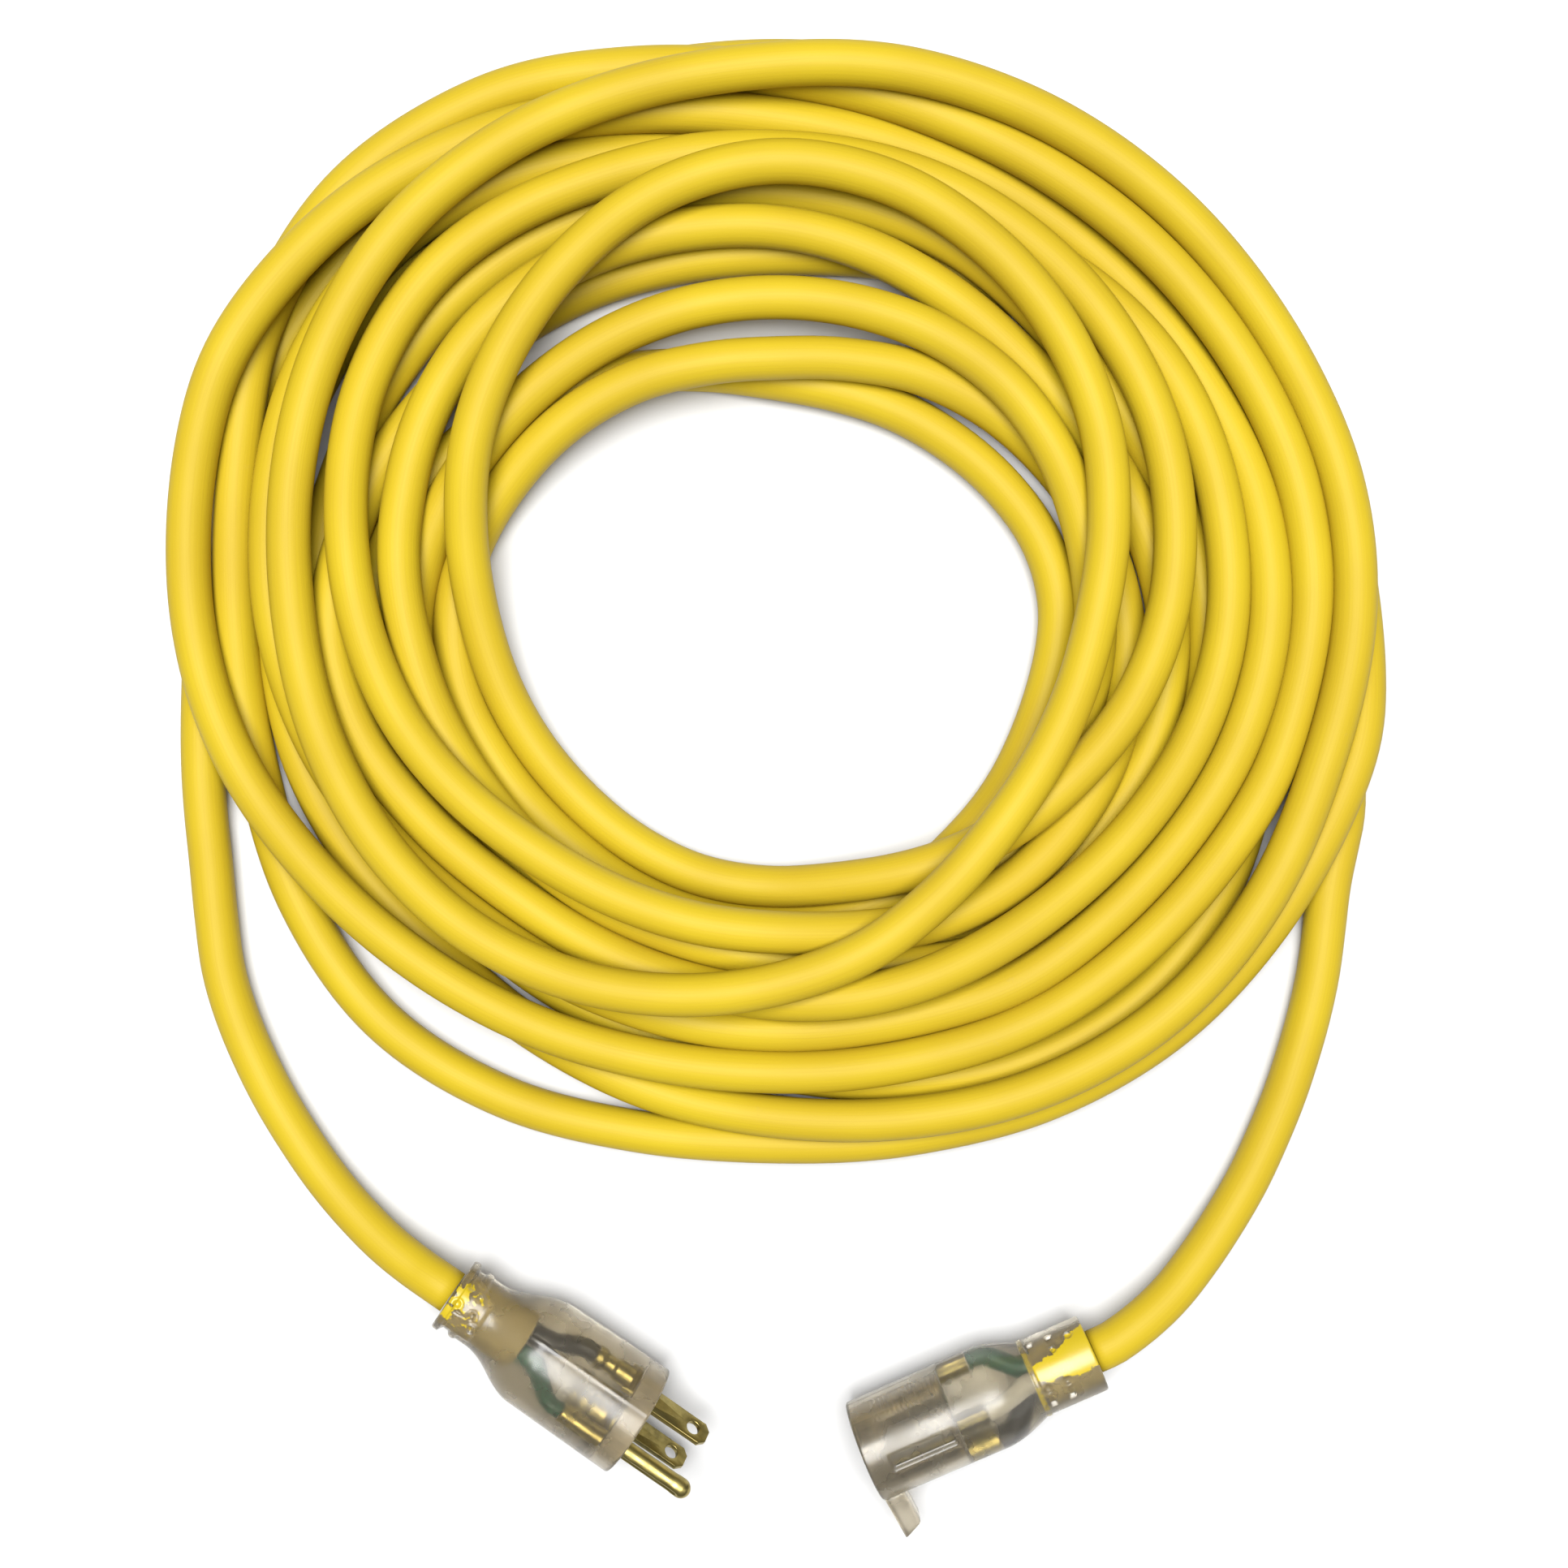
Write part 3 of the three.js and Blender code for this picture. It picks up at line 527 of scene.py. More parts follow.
@dataclass
class Cord:
    """The jacketed cord: one run from the plug, through the coil's turns, to the connector."""

    diameter: float = 0.011
    winding_centre: tuple[float, float] = (-0.0013, -0.004)
    level_rise: float = 0.010
    sample: float = 0.005
    ring_spacing: float = 0.003
    around: int = 24
    lay_gap: float = 0.00005
    settle_rounds: int = 420
    pair_rounds: int = 12
    late_share: float = 0.7
    sink: float = 0.0003
    pull: float = 0.05
    late_pull: float = 0.012
    push_gain: float = 1.5
    bend_reach: int = 6
    held_samples: int = 14
    plug_tail: tuple[tuple[float, float, float], ...] = (
        (-0.1524, -0.0475, 0), (-0.1518, -0.055, 0), (-0.1506, -0.0665, 0), (-0.1492, -0.081, 0),
        (-0.147, -0.0965, 0), (-0.1436, -0.1078, 0), (-0.1392, -0.1184, 0), (-0.1338, -0.1292, 0),
        (-0.1274, -0.1396, 0.0003), (-0.1196, -0.1504, 0.001), (-0.111, -0.1598, 0.0024),
        (-0.1024, -0.1672, 0.0046), (-0.0936, -0.173, 0.007),
    )
    connector_tail: tuple[tuple[float, float, float], ...] = (
        (0.1486, -0.0565, 0), (0.147, -0.064, 0), (0.1452, -0.073, 0), (0.1438, -0.0846, 0),
        (0.1422, -0.0965, 0), (0.1398, -0.1076, 0), (0.1368, -0.1182, 0), (0.1332, -0.129, 0),
        (0.1288, -0.1396, 0.0002), (0.1236, -0.1504, 0.0007), (0.117, -0.1612, 0.0016),
        (0.1096, -0.1714, 0.003), (0.1016, -0.1804, 0.0048), (0.0924, -0.1878, 0.0067),
    )

    def tail(self, points: tuple, butt: "Moulding") -> np.ndarray:
        """A tail's listed points and its square end on a moulding's axis, from the coil's centre."""
        floor_line = self.diameter / 2 + self.lay_gap
        route = np.array(points) + (0, 0, floor_line)
        return np.concatenate([route, butt.behind(0.004)[None], butt.behind(0.0)[None]])

    def wound(self) -> np.ndarray:
        """The coil's turns before they settle, 24 points a turn.

        Reach and level are smooth curves through their values at the eighths; a point is
        centre + reach * (cos a, sin a) at height radius + (level - 1) * level_rise.
        """
        reach = np.concatenate([turn.reach for turn in TURNS]) * MM
        level = np.concatenate([turn.level for turn in TURNS])
        values = np.stack([reach, level], 1)
        slope = np.gradient(values, axis=0)
        place = np.arange(0, len(values) - 1 + 1e-9, 1 / 3)
        index = np.minimum(place.astype(int), len(values) - 2)
        t = (place - index)[:, None]
        smooth = cubic(values, slope, index, t)
        angle = place * np.pi / 4
        x = self.winding_centre[0] + smooth[:, 0] * np.cos(angle)
        y = self.winding_centre[1] + smooth[:, 0] * np.sin(angle)
        z = self.diameter / 2 + self.lay_gap + (smooth[:, 1].clip(1) - 1) * self.level_rise
        return np.stack([x, y, z], 1)

    def near_pairs(self, path: np.ndarray, reach: float) -> tuple[np.ndarray, np.ndarray]:
        """Sample pairs of different stretches of the cord that are nearer than a reach."""
        apart = int(2.6 * self.diameter / self.sample)
        square = np.zeros((len(path), len(path)), np.float32)
        for axis in range(3):
            line = path[:, axis].astype(np.float32)
            square += (line[:, None] - line[None, :]) ** 2
        first, second = np.nonzero(square < reach**2)
        keep = second - first >= apart
        return first[keep], second[keep]

    def settle(self, path: np.ndarray, held: np.ndarray) -> np.ndarray:
        """Lets the wound cord sink until its strands lie on the floor and on each other.

        Each round lowers every free sample a little, draws it towards where it was wound, moves apart the
        samples of two strands that are nearer than a diameter, along the line between them, and evens how
        far the samples are from where they were wound, so that the bends stay smooth.

        Args:
            path: samples a fixed distance apart.
            held: how firmly each sample is held where it is, from 0 to 1.

        Returns:
            The settled samples.
        """
        home = path.copy()
        path = path.copy()
        free = (1 - held)[:, None]
        floor_line = self.diameter / 2 + self.lay_gap
        for count in range(self.settle_rounds):
            share = count / self.settle_rounds
            if count % self.pair_rounds == 0:
                first, second = self.near_pairs(path, 1.5 * self.diameter)
            path[:, 2] -= free[:, 0] * self.sink * (1 - share)
            pull = self.pull if share < self.late_share else self.late_pull
            path[:, :2] += pull * (home[:, :2] - path[:, :2])
            gap = path[second] - path[first]
            distance = np.linalg.norm(gap, axis=1).clip(1e-6)
            overlap = (self.diameter - distance).clip(0) / 2
            touch = overlap > 0
            push = gap / distance[:, None] * overlap[:, None]
            touches = (np.bincount(first[touch], minlength=len(path))
                       + np.bincount(second[touch], minlength=len(path))).clip(1)
            for axis in range(3):
                moved = (np.bincount(second, push[:, axis], len(path))
                         - np.bincount(first, push[:, axis], len(path)))
                path[:, axis] += free[:, 0] * moved * self.push_gain / touches**0.7
            path[:, 2] = path[:, 2].clip(floor_line)
            shift = path - home
            smooth = evened(shift, self.bend_reach if share < 0.8 else self.bend_reach // 2)
            path = home + free * (shift + (smooth - shift) * 0.7)
        return path

    def route(self, plug: "Moulding", connector: "Moulding") -> np.ndarray:
        """The whole cord's middle line, from the plug to the connector, in the row frame."""
        ends = self.tail(self.connector_tail, connector)[::-1], self.tail(self.plug_tail, plug)
        path = smooth_line(np.concatenate([ends[0], self.wound(), ends[1]]), self.sample)
        index = np.arange(len(path))
        tails = [int(np.linalg.norm(np.diff(end, axis=0), axis=1).sum() / self.sample) for end in ends]
        from_end = np.minimum(index - tails[0], len(path) - 1 - tails[1] - index)
        held = np.clip(1 - from_end / self.held_samples, 0, 1) ** 2
        settled = self.settle(path, held)
        return smooth_line(settled, self.ring_spacing)[::-1] + COIL_CENTRE

    def build(self, plug: "Moulding", connector: "Moulding") -> bpy.types.Object:
        path = self.route(plug, connector)
        rings = tube_rings(path, self.diameter / 2, self.around)
        length = np.concatenate([[0], np.cumsum(np.linalg.norm(np.diff(path, axis=0), axis=1))])
        turn = np.linspace(0, 1, self.around + 1)
        uv = np.stack(np.broadcast_arrays(length[:, None], turn[None, :]), -1)
        cord = skin("cord", rings, uv)
        cord.data.materials.append(JacketVinyl().material())
        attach(cord, ROOT)
        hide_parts("cord_coil", "cord_tail_plug", "cord_tail_connector")
        LOG.info("cord: %.2f m, %d rings, top at %.1f mm", length[-1], len(path), 1000 * rings[..., 2].max())
        return cord


# ---- Mouldings ---------------------------------------------------------------------------------------

class Pole(Enum):
    """The three poles, seen along a moulding's axis: place sideways, height above the blades' line, and the
    angle in degrees at which the conductor leaves the cord."""

    GROUND = (0.0, 0.0119, 90.0)
    LEFT = (-0.00635, 0.0, 210.0)
    RIGHT = (0.00635, 0.0, -30.0)


def bell(values: np.ndarray, width: float, power: int = 2) -> np.ndarray:
    """1 at nought, falling as exp(-(value / width)^power)."""
    return np.exp(-(values / width) ** power)


def signed_degrees(angle: np.ndarray) -> np.ndarray:
    """Radians as degrees from -180 to 180."""
    return (np.degrees(angle) + 180) % 360 - 180


def window(values: np.ndarray, low: float, high: float, edge: float) -> np.ndarray:
    """1 between two places and 0 outside them, with smooth edges of a given width."""
    rise = ((values - low) / edge + 0.5).clip(0, 1)
    fall = ((high - values) / edge + 0.5).clip(0, 1)
    return rise**2 * (3 - 2 * rise) * fall**2 * (3 - 2 * fall)


def filled_in(points: list[tuple[float, float]], spacing: float) -> np.ndarray:
    """A polyline with points added so that none are further apart than a spacing."""
    corners = np.array(points)
    rows = [corners[:1]]
    for start, end in zip(corners[:-1], corners[1:]):
        count = max(1, int(np.ceil(np.linalg.norm(end - start) / spacing)))
        share = np.arange(1, count + 1)[:, None] / count
        rows.append(start + share * (end - start))
    return np.concatenate(rows)


def dress(node: str, material: bpy.types.Material) -> None:
    """Gives a carried-over CAD node its material."""
    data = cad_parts[node].data
    data.materials.clear()
    data.materials.append(material)


@dataclass
class Moulding:
    """What the plug and the connector share: a moulding on an axis level with the floor.

    Its own X runs along the axis, nought at the face and negative to the cord; Z is up, and its poles are
    turned from there by the roll.
    """

    name: str
    length: float
    face: tuple[float, float]
    heading: float
    roll: float
    height: float
    line_drop: float
    jacket_depth: float
    barrel_back: float
    cores: tuple[tuple[str, Pole, CoreVinyl], ...]
    cord_radius: float = 0.0055
    core_diameter: float = 0.004
    lay_radius: float = 0.00255
    butt_gap: float = 0.0003
    bore_play: float = 0.0002
    axis_hole: float = 0.0004
    jacket_edge: float = 0.0005
    around: int = 240
    pieces: list[bpy.types.Object] = field(default_factory=list)

    def origin(self) -> np.ndarray:
        """The middle of the face, in the row frame."""
        return np.array([self.face[0] + COIL_CENTRE[0], self.face[1] + COIL_CENTRE[1], self.height])

    def pole_place(self, pole: Pole) -> tuple[float, float]:
        """A pole's place sideways and its height, from the moulding's axis."""
        y, above_line, _ = pole.value
        return y, above_line - self.line_drop

    def behind(self, distance: float) -> np.ndarray:
        """A point on the axis, a distance behind the cord end, from the coil's centre."""
        turn = math.radians(self.heading)
        back = self.length + self.butt_gap + distance
        return np.array([self.face[0] - back * math.cos(turn), self.face[1] - back * math.sin(turn),
                         self.height])

    def placed(self, points: np.ndarray, rolled: bool) -> np.ndarray:
        """Points of the moulding's own frame in the row frame; rolled ones turn with the poles first."""
        x, y, z = points[..., 0], points[..., 1], points[..., 2]
        if rolled:
            turn = math.radians(self.roll)
            y, z = y * math.cos(turn) - z * math.sin(turn), y * math.sin(turn) + z * math.cos(turn)
        turn = math.radians(self.heading)
        along, across = x * math.cos(turn) - y * math.sin(turn), x * math.sin(turn) + y * math.cos(turn)
        return np.stack([along, across, z], -1) + self.origin()

    def shell_rings(self, profile: np.ndarray) -> np.ndarray:
        """Rings of the shell's section, with the relief on its outside."""
        angle = np.linspace(0, 2 * np.pi, self.around, endpoint=False)[None, :]
        x, radius, outside = profile[:, :1], profile[:, 1:2], profile[:, 2:3]
        return turned(profile[:, 0], radius + self.relief(x, angle, outside))

    def relief(self, x: np.ndarray, angle: np.ndarray, outside: np.ndarray) -> np.ndarray:
        """How far the outside stands out or in at places and angles: each moulding has its own."""
        raise NotImplementedError

    def add(self, piece: bpy.types.Object, slot: str, material: bpy.types.Material, *nodes: str) -> None:
        """Dresses a piece, rides it on the one body and hides the CAD nodes it stands for."""
        piece.data.materials.append(material)
        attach(piece, ROOT)
        if nodes:
            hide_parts(*nodes)
        self.pieces.append(piece)
        LOG.info("%s: %d faces", piece.name, len(piece.data.polygons))

    def shell_profile(self, outside: list[tuple[float, float]], pocket: tuple[float, float]) -> np.ndarray:
        """The shell's whole section: bore for the jacket, outside, and the pocket in its face.

        Args:
            outside: (x, radius) from the cord end to the face.
            pocket: the face pocket's depth and radius.

        Returns:
            Rows of x, radius and 1 on the outside or 0 elsewhere.
        """
        bore = self.cord_radius - self.bore_play
        inner = self.jacket_depth - self.length
        depth, radius = pocket
        hidden_step, seen_step = 0.0012, 0.0003
        rear = filled_in([(inner, self.axis_hole), (inner, bore), (outside[0][0], bore), outside[0]],
                         hidden_step)
        skin_part = filled_in(outside, seen_step)
        front = filled_in([outside[-1], (outside[-1][0], radius), (-depth, radius), (-depth, self.axis_hole)],
                          hidden_step)
        rows = np.concatenate([rear[:-1], skin_part, front[1:]])
        flag = np.concatenate([np.zeros(len(rear) - 1), np.ones(len(skin_part)), np.zeros(len(front) - 1)])
        return np.column_stack([rows, flag])

    def build_cores(self) -> None:
        """The jacket's end and the three conductors, first on the cord's lay and then on their poles."""
        end = self.jacket_depth - self.length
        radius = self.cord_radius
        edge = self.jacket_edge
        profile = filled_in([(-self.length, self.axis_hole), (-self.length, radius), (end - edge, radius),
                             (end, radius - edge), (end, self.axis_hole)], 0.001)
        rings = turned(profile[:, 0], np.repeat(profile[:, 1:], 48, 1))
        jacket = skin(f"{self.name}_jacket_inside", self.placed(rings, False))
        self.add(jacket, "cord_jacket", JACKET_END.material(f"{self.name}_jacket_end_vinyl"),
                 f"{self.name}_jacket_end")
        start, stop = end + self.butt_gap, self.barrel_back - self.butt_gap
        span = stop - start
        for colour, pole, finish in self.cores:
            y, z = self.pole_place(pole)
            lay = math.radians(pole.value[2])
            y0, z0 = self.lay_radius * math.cos(lay), self.lay_radius * math.sin(lay)
            route = np.array([
                (start, y0, z0), (start + 0.2 * span, y0, z0),
                (start + 0.5 * span, (y0 + y) / 2, (z0 + z) / 2), (stop - 0.2 * span, y, z), (stop, y, z)])
            path = smooth_line(self.placed(route, True), 0.0005)
            tube = skin(f"{self.name}_{colour}_core", tube_rings(path, self.core_diameter / 2, 24))
            self.add(tube, f"{colour}_insulation", finish.material(f"{self.name}_{colour}_insulation"),
                     f"{self.name}_{colour}_conductor")
            dress(f"{self.name}_{colour}_copper", COPPER_STRANDS.material(f"{self.name}_{colour}_strands"))


@dataclass
class Plug(Moulding):
    """The plug: a clear moulding with a ribbed neck, a paler bridge in front and three pins."""

    name: str = "plug"
    length: float = 0.058
    face: tuple[float, float] = (-0.0369, -0.2112)
    heading: float = -34.6
    roll: float = 32.0
    height: float = 0.0146
    line_drop: float = 0.0024
    jacket_depth: float = 0.0235
    barrel_back: float = -0.0185
    cores: tuple[tuple[str, Pole, CoreVinyl], ...] = (
        ("black", Pole.RIGHT, BLACK_CORE), ("white", Pole.LEFT, WHITE_CORE),
        ("green", Pole.GROUND, GREEN_CORE))
    radius: float = 0.0146
    waist_radius: float = 0.0142
    neck_radius: float = 0.0087
    plate_radius: float = 0.0094
    shoulder_start: float = 0.0095
    shoulder_length: float = 0.018
    bridge: tuple[float, float] = (0.0063, 0.0131)
    seam_angle: float = 29.0
    seam_height: float = 0.00022
    dimples: tuple[tuple[float, float], ...] = (
        (-0.0558, 9.5), (-0.0518, 34.0), (-0.0509, 7.0), (-0.0492, -13.0))
    dimple_depth: float = 0.00055
    dimple_radius: float = 0.0008
    dimple_rim: tuple[float, float, float] = (0.0002, 0.0013, 0.0003)
    blade_reach: float = 0.017
    blade_width: float = 0.00635
    blade_thickness: float = 0.0015
    blade_chamfer: float = 0.0016
    blade_root: float = 0.009
    hole_reach: float = 0.0126
    hole_radius: float = 0.0018
    pin_radius: float = 0.00238
    barrel_radius: float = 0.00238
    groove_turn: float = 18.0

    def relief(self, x: np.ndarray, angle: np.ndarray, outside: np.ndarray) -> np.ndarray:
        """The seam's two ridges, a plain plate across the neck's grooves, and four dimples in the plate."""
        across = np.abs(signed_degrees(angle))
        off_seam = np.abs(signed_degrees(angle - math.radians(self.seam_angle)))
        off_seam = np.minimum(off_seam, 180 - off_seam)
        seam = self.seam_height * bell(off_seam, 1.6) * window(x, -0.0375, 0.001, 0.003)
        sides = window(across, -1, 40, 14) + window(across, 140, 181, 14)
        neck = window(x, -0.0575, -0.0480, 0.0012)
        profile = np.interp(x[:, 0], *np.array(self.outside()).T)[:, None]
        total = seam + sides * neck * (self.plate_radius - profile).clip(0, 0.0015)
        rim_height, rim_radius, rim_width = self.dimple_rim
        for place, turn in self.dimples:
            far = np.hypot(x - place, np.radians(signed_degrees(angle) - turn) * self.plate_radius)
            total = total - self.dimple_depth * bell(far, self.dimple_radius, 4)
            total = total + rim_height * bell(far - rim_radius, rim_width)
        wobble = 0.00006 * np.sin(3 * angle + 400 * x) * window(x, -0.0575, -0.03, 0.004)
        return outside * (total + wobble)

    def outside(self) -> list[tuple[float, float]]:
        """The outside's (x, radius) places: flange, groove, rib, half cosine wave of shoulder, and barrel."""
        back = -self.length
        neck = [(back + along, radius) for along, radius in (
            (0, 0.0093), (0.0004, 0.0097), (0.0017, 0.00975), (0.0024, 0.0086), (0.0028, 0.0082),
            (0.0042, 0.0082), (0.0048, 0.0090), (0.0052, 0.0092), (0.0062, 0.0092), (0.0068, 0.0088),
            (0.0072, self.neck_radius))]
        share = np.linspace(0, 1, 24)
        rise = (1 - np.cos(np.pi * share)) / 2
        x = back + self.shoulder_start + share * self.shoulder_length
        radius = self.neck_radius + rise * (self.waist_radius - self.neck_radius)
        edge = 0.0004
        barrel = [(-edge, self.radius), (-0.3 * edge, self.radius - 0.3 * edge), (0.0, self.radius - edge)]
        return neck + list(zip(x, radius)) + barrel

    def bonded_patch(self, shader: Shader, own: Field) -> Field:
        """Mask of the torn yellow bits bonded at the neck's cord end, near the top and at one edge."""
        x, y, z = shader.parts(own)
        torn = shader.noise(own, 420.0, 4.0, 0.6) * 0.004 - 0.002
        middle = (((x + 0.0560) * 0.9).size().most((y - 0.0036).size() * 0.75) + torn).step(0.0019, 0.0016)
        edge = ((x + 0.0568).size().most((y + 0.0016).size() * 0.7) + torn).step(0.0014, 0.0011)
        crumbs = shader.noise(own, 900.0, 2.0).step(0.60, 0.63) * (
            (x + 0.0525).size().step(0.0045, 0.0025) * (y - 0.0016).size().step(0.0065, 0.0040))
        return middle.most(edge).most(crumbs) * z.step(0.002, 0.004)

    def blade(self, label: str, pole: Pole, material: bpy.types.Material) -> None:
        """A blade: a plate whose section runs between the eye's rim and the outline, all round the eye.

        Point = eye rim + share * (outline - eye rim), with the section's corners rounded off.
        """
        half = self.blade_width / 2
        tip, cut = self.blade_reach, self.blade_chamfer
        root = -self.blade_root
        outline = filled_in([(root, -half), (tip - cut, -half), (tip, -half + cut), (tip, half - cut),
                             (tip - cut, half), (root, half), (root, -half)], 0.0004)[:-1]
        eye = np.array([self.hole_reach, 0.0])
        away = outline - eye
        distance = np.linalg.norm(away, axis=1)[:, None]
        direction = away / distance
        thick, round_off = self.blade_thickness / 2, 0.0002
        arc = np.linspace(0, np.pi / 2, 4)
        corner = np.stack([round_off * (1 - np.cos(arc)), round_off * (1 - np.sin(arc))], 1)
        rim = [(0, inset, thick - drop) for inset, drop in corner]
        edge = [(1, -inset, thick - drop) for inset, drop in corner[::-1]]
        section = rim + edge + [(end, inset, -height) for end, inset, height in edge[::-1] + rim[::-1]]
        y, z = self.pole_place(pole)
        rings = []
        for at_outline, inset, height in section:
            reach = distance if at_outline else self.hole_radius
            flat = eye + direction * (reach + inset)
            rings.append(np.column_stack([flat[:, 0], np.full(len(flat), y + height), flat[:, 1] + z]))
        made = torus_skin(f"plug_{label}_blade_plate", self.placed(np.stack(rings), True))
        self.add(made, "brass", material, f"plug_{label}_blade")
        self.barrel(f"plug_{label}_barrel", pole, material)

    def barrel(self, name: str, pole: Pole, material: bpy.types.Material) -> None:
        """The crimp barrel behind a pin, waisted where it is crimped on the copper."""
        x = np.linspace(self.barrel_back, -self.blade_root + 0.0015, 40)
        radius = self.barrel_radius * (1 - 0.22 * window(x, -0.0162, -0.0128, 0.0012))
        hole = [0.0006]
        x, radius = np.concatenate([x[:1], x, x[-1:]]), np.concatenate([hole, radius, hole])
        rings = turned(x, np.repeat(radius[:, None], 32, 1), self.pole_place(pole))
        self.add(skin(name, self.placed(rings, True)), "brass", material)

    def ground_pin(self, material: bpy.types.Material) -> None:
        """The folded ground pin: a round bar with a groove along two sides, swelling to a domed tip.

        Radius = profile * (1 - groove), the groove being a narrow bell across the angle.
        """
        dome_start, dome_length = 0.0175, 0.0027
        x = np.concatenate([np.linspace(self.barrel_back, dome_start, 90),
                            dome_start + dome_length * np.sin(np.linspace(0.05, 1.56, 20))])
        dome = np.sqrt(1 - ((x - dome_start) / (dome_length + 0.00001)).clip(0, 1) ** 2)
        radius = self.pin_radius * dome * (1 + 0.05 * window(x, 0.0155, 0.0195, 0.0015))
        angle = np.linspace(0, 2 * np.pi, 64, endpoint=False)[None, :]
        groove = 0.0
        for centre in np.radians([self.groove_turn - self.roll, self.groove_turn - self.roll + 180]):
            off = (angle - centre + np.pi) % (2 * np.pi) - np.pi
            groove = groove + 0.22 * np.exp(-(off / 0.22) ** 2)
        groove = groove * window(x, -0.005, 0.0172, 0.0012)[:, None]
        reach = radius[:, None] * (1 - groove)
        rings = turned(x, reach, self.pole_place(Pole.GROUND))
        pin = skin("plug_ground_pin_folded", self.placed(rings, True))
        self.add(pin, "brass", material, "plug_ground_pin")

    def build(self) -> None:
        """Makes the shell, the wiring and the pins, and dresses the bridge."""
        rings = self.shell_rings(self.shell_profile(self.outside(), self.bridge))
        shell = skin("plug_shell", self.placed(rings, False))
        self.add(shell, "clear_pvc", ClearVinyl().material("plug_clear_vinyl", self), "plug_body")
        dress("plug_bridge", BRIDGE_VINYL.material("bridge_vinyl"))
        self.build_cores()
        brass = PinBrass().material("blade_brass", self.heading, 0.42)
        self.blade("hot", Pole.RIGHT, brass)
        self.blade("neutral", Pole.LEFT, brass)
        self.ground_pin(PinBrass().material("ground_pin_brass", self.heading, 0.12))


@dataclass
class Connector(Moulding):
    """The connector: a clear moulding on a sleeve, an insert that holds three contacts, and a pull tab."""

    name: str = "connector"
    length: float = 0.0645
    face: tuple[float, float] = (0.0221, -0.2198)
    heading: float = 203.5
    roll: float = 125.0
    height: float = 0.013
    line_drop: float = 0.0045
    jacket_depth: float = 0.017
    barrel_back: float = -0.0332
    cores: tuple[tuple[str, Pole, CoreVinyl], ...] = (
        ("black", Pole.LEFT, BLACK_CORE), ("white", Pole.RIGHT, WHITE_CORE),
        ("green", Pole.GROUND, GREEN_CORE))
    radius: float = 0.013
    face_radius: float = 0.0128
    sleeve_length: float = 0.017
    sleeve_radius: float = 0.0098
    shoulder_length: float = 0.013
    insert: tuple[float, float] = (0.0253, 0.0115)
    dimples: tuple[tuple[float, float], ...] = (
        (-0.0501, 2.5), (-0.0554, 2.5), (-0.0551, -49.0), (-0.0602, -61.0))
    dimple_depth: float = 0.0008
    dimple_radius: float = 0.0010
    notch_turns: tuple[float, ...] = (25.0, -66.0, 155.0, -114.0)
    notch_places: tuple[float, ...] = (-0.0500, -0.0553)
    notch_depth: float = 0.0011
    recess_depth: float = 0.0010
    rib_height: float = 0.00055
    rib_spacing: float = 0.00124
    grip: tuple[float, float] = (-0.0237, -0.0062)
    tab_root: float = 0.0122
    tab_tip: float = 0.0221
    tab_thickness: tuple[float, float] = (0.0056, 0.0052)
    tab_lean: float = 0.001
    tab_width: float = 0.009
    tab_slant: float = 0.46

    def outside(self) -> list[tuple[float, float]]:
        """The outside's (x, radius) places: sleeve, a shoulder of a quarter sine wave, and barrel."""
        back, front = -self.length, -self.length + self.sleeve_length
        sleeve = [(back, self.sleeve_radius - 0.0005), (back + 0.0002, self.sleeve_radius - 0.0001),
                  (back + 0.0006, self.sleeve_radius), (front, self.sleeve_radius)]
        share = np.linspace(0, 1, 24)[1:]
        x = front + share * self.shoulder_length
        radius = self.sleeve_radius + np.sin(np.pi / 2 * share) * (self.radius - self.sleeve_radius)
        edge = 0.0003
        barrel = [(-edge, self.face_radius), (0.0, self.face_radius - edge)]
        return sleeve + list(zip(x, radius)) + barrel

    def relief(self, x: np.ndarray, angle: np.ndarray, outside: np.ndarray) -> np.ndarray:
        """Sleeve dimples and flex notches, the long recess and the comb of ribs on the barrel's top."""
        signed = signed_degrees(angle)
        total = 0 * x * angle
        for place, turn in self.dimples:
            far = np.hypot(x - place, np.radians(signed - turn) * self.sleeve_radius)
            total = total - self.dimple_depth * bell(far, self.dimple_radius, 6)
        for turn in self.notch_turns:
            for place in self.notch_places:
                notch = window(x, place - 0.0009, place + 0.0009, 0.0004)
                total = total - self.notch_depth * notch * window(np.abs(signed - turn), -9, 9, 3)
        back, front = self.grip
        recess = window(x, back, front, 0.0006) * window(signed, -5.7, 12.3, 3.5)
        comb = window(x, back + 0.0002, front, 0.0006) * window(signed, -76, -46, 3)
        ribs = np.cos(np.pi * (x - front) / self.rib_spacing) ** 4
        seam = 0.00012 * bell(np.abs(signed) - 90, 1.4) * window(x, -0.0475, 0.001, 0.002)
        band = 0.00025 * window(x, -0.0486, -0.0474, 0.0005)
        return outside * (total - self.recess_depth * recess + self.rib_height * comb * ribs + seam + band)

    def bonded_patch(self, shader: Shader, own: Field) -> Field:
        """Mask of the yellow jacket bonded to the sleeve's top, widening to the cord, with a torn rim."""
        x, y, z = shader.parts(own)
        torn = shader.noise(own, 260.0, 4.0, 0.6) * 0.005 - 0.0025
        low = y + torn - ((x + 0.0485) * 0.21 - 0.0060)
        high = (0.0008 - (x + 0.0600).size() * 0.25) - (y + torn)
        top = (low.least(high)).step(0.0, 0.0003) * z.step(0.001, 0.002)
        rim = (x + 0.0478).size().step(0.0009, 0.0005) * shader.noise(own, 500.0, 3.0).step(0.42, 0.5)
        return (top * x.step(-0.0482, -0.0488)).most(rim * 0.35)

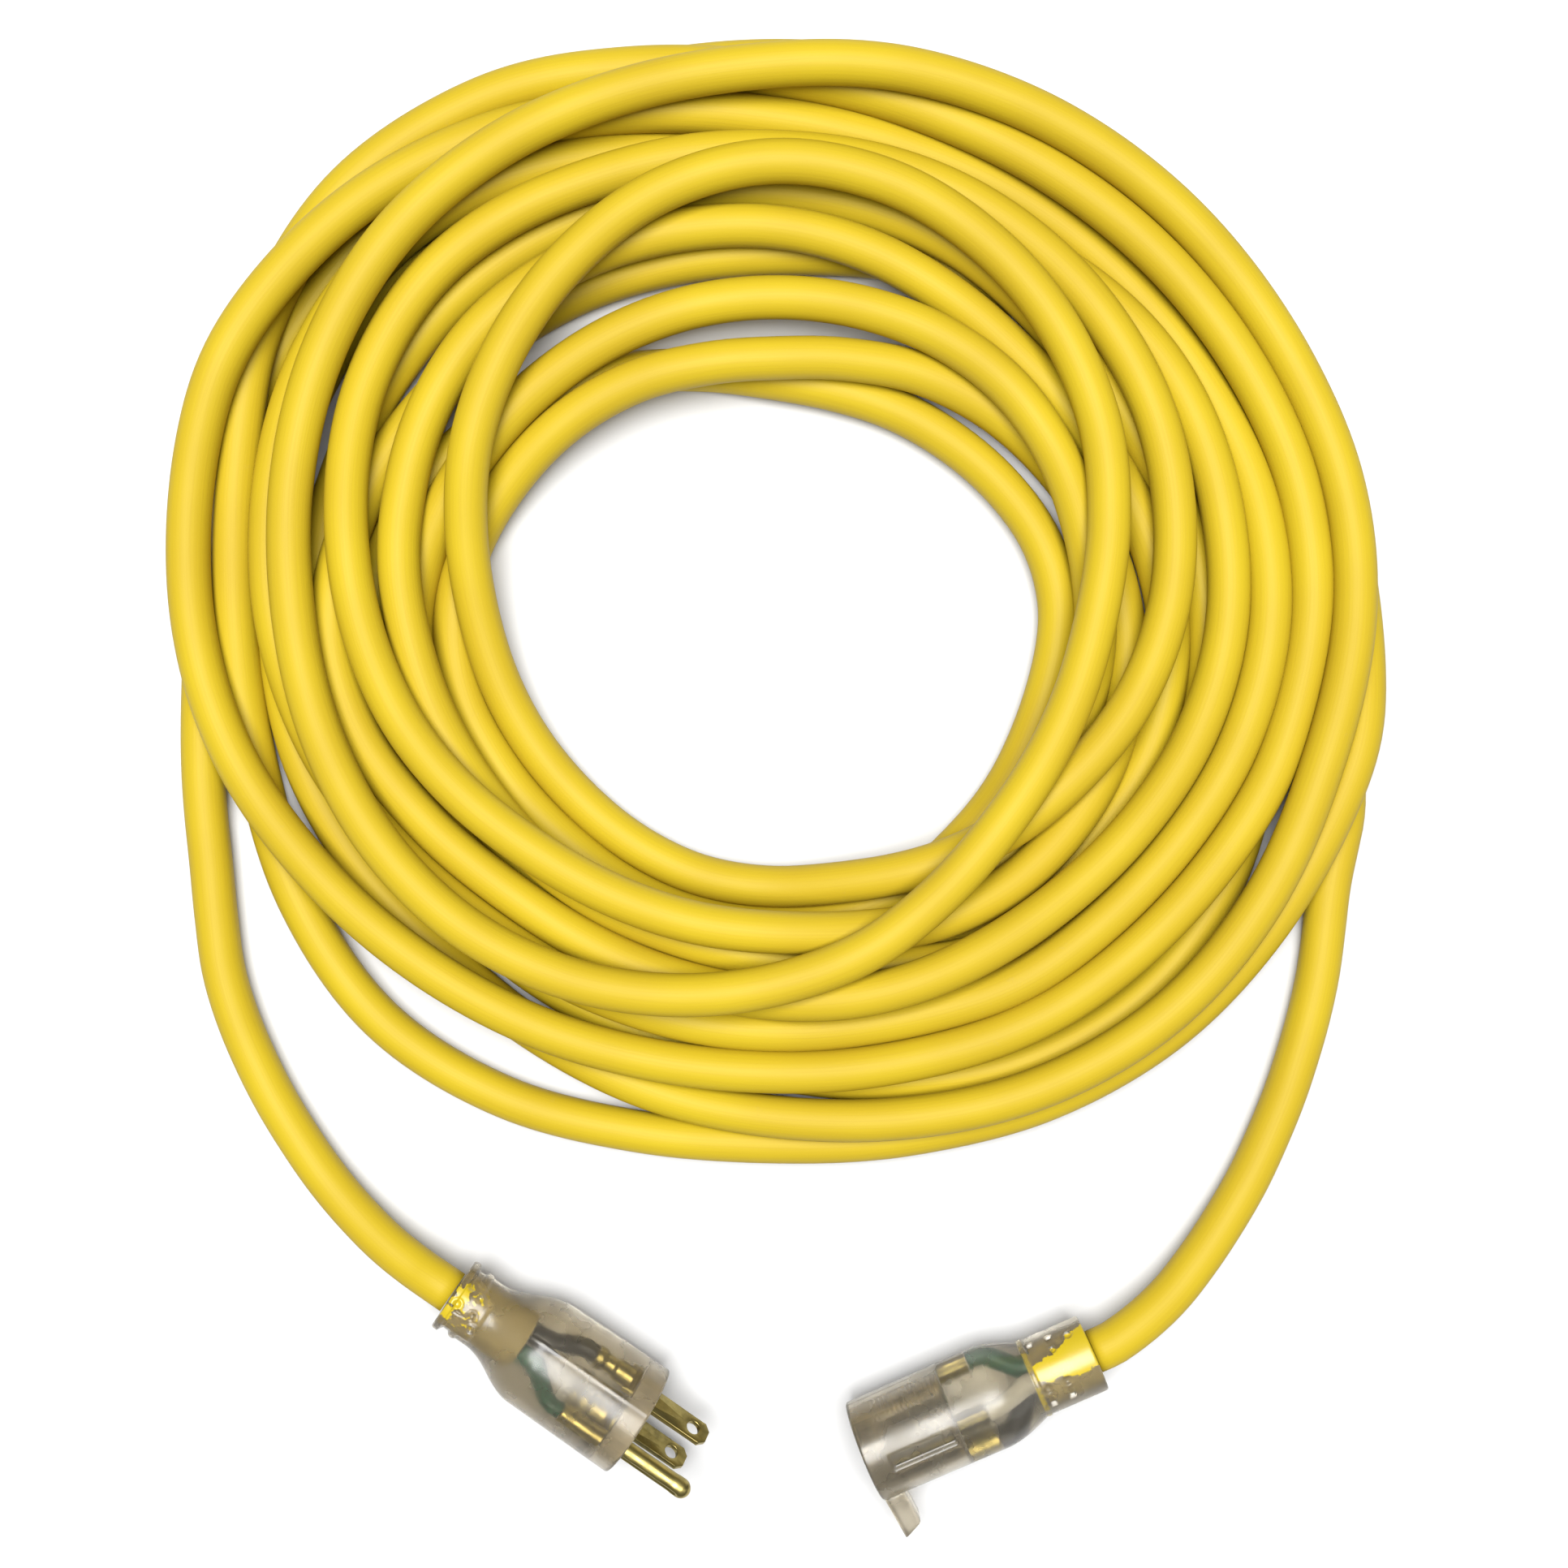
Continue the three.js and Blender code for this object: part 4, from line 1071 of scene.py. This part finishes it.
    def tab(self, material: bpy.types.Material) -> None:
        """The pull tab: a rounded oblong section that leans back and ends on a slant.

        A ring at share t lies at y = root + t * (tip - root) + t * slant * p, where p is the section's x.
        """
        angle = np.linspace(0, 2 * np.pi, 64, endpoint=False)
        cosine, sine = (np.sign(wave) * np.abs(wave) ** 0.25 for wave in (np.cos(angle), np.sin(angle)))
        share = np.concatenate([np.linspace(0, 0.97, 30), [0.982, 0.991, 0.997, 1.0]])[:, None]
        pinch = np.sqrt(1 - ((share - 0.97).clip(0) / 0.0301) ** 2) * 0.06 + 0.94
        half = (self.tab_thickness[0] + share * (self.tab_thickness[1] - self.tab_thickness[0])) / 2 * pinch
        p = half * cosine
        x = -self.tab_thickness[0] / 2 - share * self.tab_lean + p
        y = self.tab_root + share * (self.tab_tip - self.tab_root) + share * self.tab_slant * p
        z = self.tab_width / 2 * pinch * sine
        tab = skin("connector_pull_tab", self.placed(np.stack([x, y, z], -1), False))
        self.add(tab, "clear_pvc", material)

    def build(self) -> None:
        """Makes the shell, the tab and the wiring, and dresses the insert and the contacts."""
        rings = self.shell_rings(self.shell_profile(self.outside(), self.insert))
        shell = skin("connector_shell", self.placed(rings, False))
        vinyl = CONNECTOR_VINYL.material("connector_clear_vinyl", self)
        self.add(shell, "clear_pvc", vinyl, "connector_body")
        self.tab(ClearVinyl().material("tab_clear_vinyl"))
        self.build_cores()
        dress("connector_insert", ClearVinyl().material("insert_vinyl"))
        brass = PinBrass().material("contact_brass", self.heading, 0.75)
        for pole in ("hot", "neutral", "ground"):
            dress(f"connector_{pole}_contact", brass)


# ---- Stage -------------------------------------------------------------------------------------------

@dataclass
class Stage:
    """The floor, the lights and the camera."""

    camera_height: float = 0.45
    view_width: float = 0.42
    view_offset: tuple[float, float] = (0.001, -0.0463)
    sensor: float = 36.0
    world_strength: float = 0.15

    def floor(self) -> None:
        """A plain flat square under everything."""
        half, under = 3.0, -0.0001
        points = np.array([(-half, -half, under), (half, -half, under), (half, half, under),
                           (-half, half, under)])
        floor = put_mesh("floor", points, np.array([[0, 1, 2, 3]]))
        floor.data.materials.append(FloorPaint().material())

    def lamp(self, name: str, place: tuple[float, float, float], size: float, power: float) -> None:
        """A square soft light that faces the object."""
        data = bpy.data.lights.new(name, "AREA")
        data.shape, data.size, data.energy = "SQUARE", size, power
        lamp = bpy.data.objects.new(name, data)
        lamp.location = place
        lamp.rotation_euler = (-Vector(place)).to_track_quat("-Z", "Y").to_euler()
        bpy.context.scene.collection.objects.link(lamp)

    def build(self) -> None:
        """Makes the floor, the lights, the world and the camera."""
        self.floor()
        self.lamp("soft_top", (-0.05, 0.10, 1.2), 0.8, 34.0)
        self.lamp("soft_side", (0.9, -0.5, 1.0), 0.8, 2.0)
        world = bpy.data.worlds.new("studio")
        world.use_nodes = True
        background = world.node_tree.nodes["Background"]
        background.inputs[0].default_value = (1, 1, 1, 1)
        background.inputs[1].default_value = self.world_strength
        bpy.context.scene.world = world
        bpy.context.scene.view_settings.view_transform = "Standard"
        data = bpy.data.cameras.new("camera")
        data.sensor_width = self.sensor
        data.lens = self.sensor * self.camera_height / self.view_width
        camera = bpy.data.objects.new("camera", data)
        camera.location = (COIL_CENTRE[0] + self.view_offset[0], COIL_CENTRE[1] + self.view_offset[1],
                           self.camera_height)
        bpy.context.scene.collection.objects.link(camera)
        bpy.context.scene.camera = camera


def main() -> None:
    """Builds the stage, the cord, the plug and the connector."""
    logging.basicConfig(level=logging.INFO, format="%(message)s")
    Stage().build()
    plug, connector = Plug(), Connector()
    plug.build()
    connector.build()
    Cord().build(plug, connector)


if __name__ == "__main__":
    main()
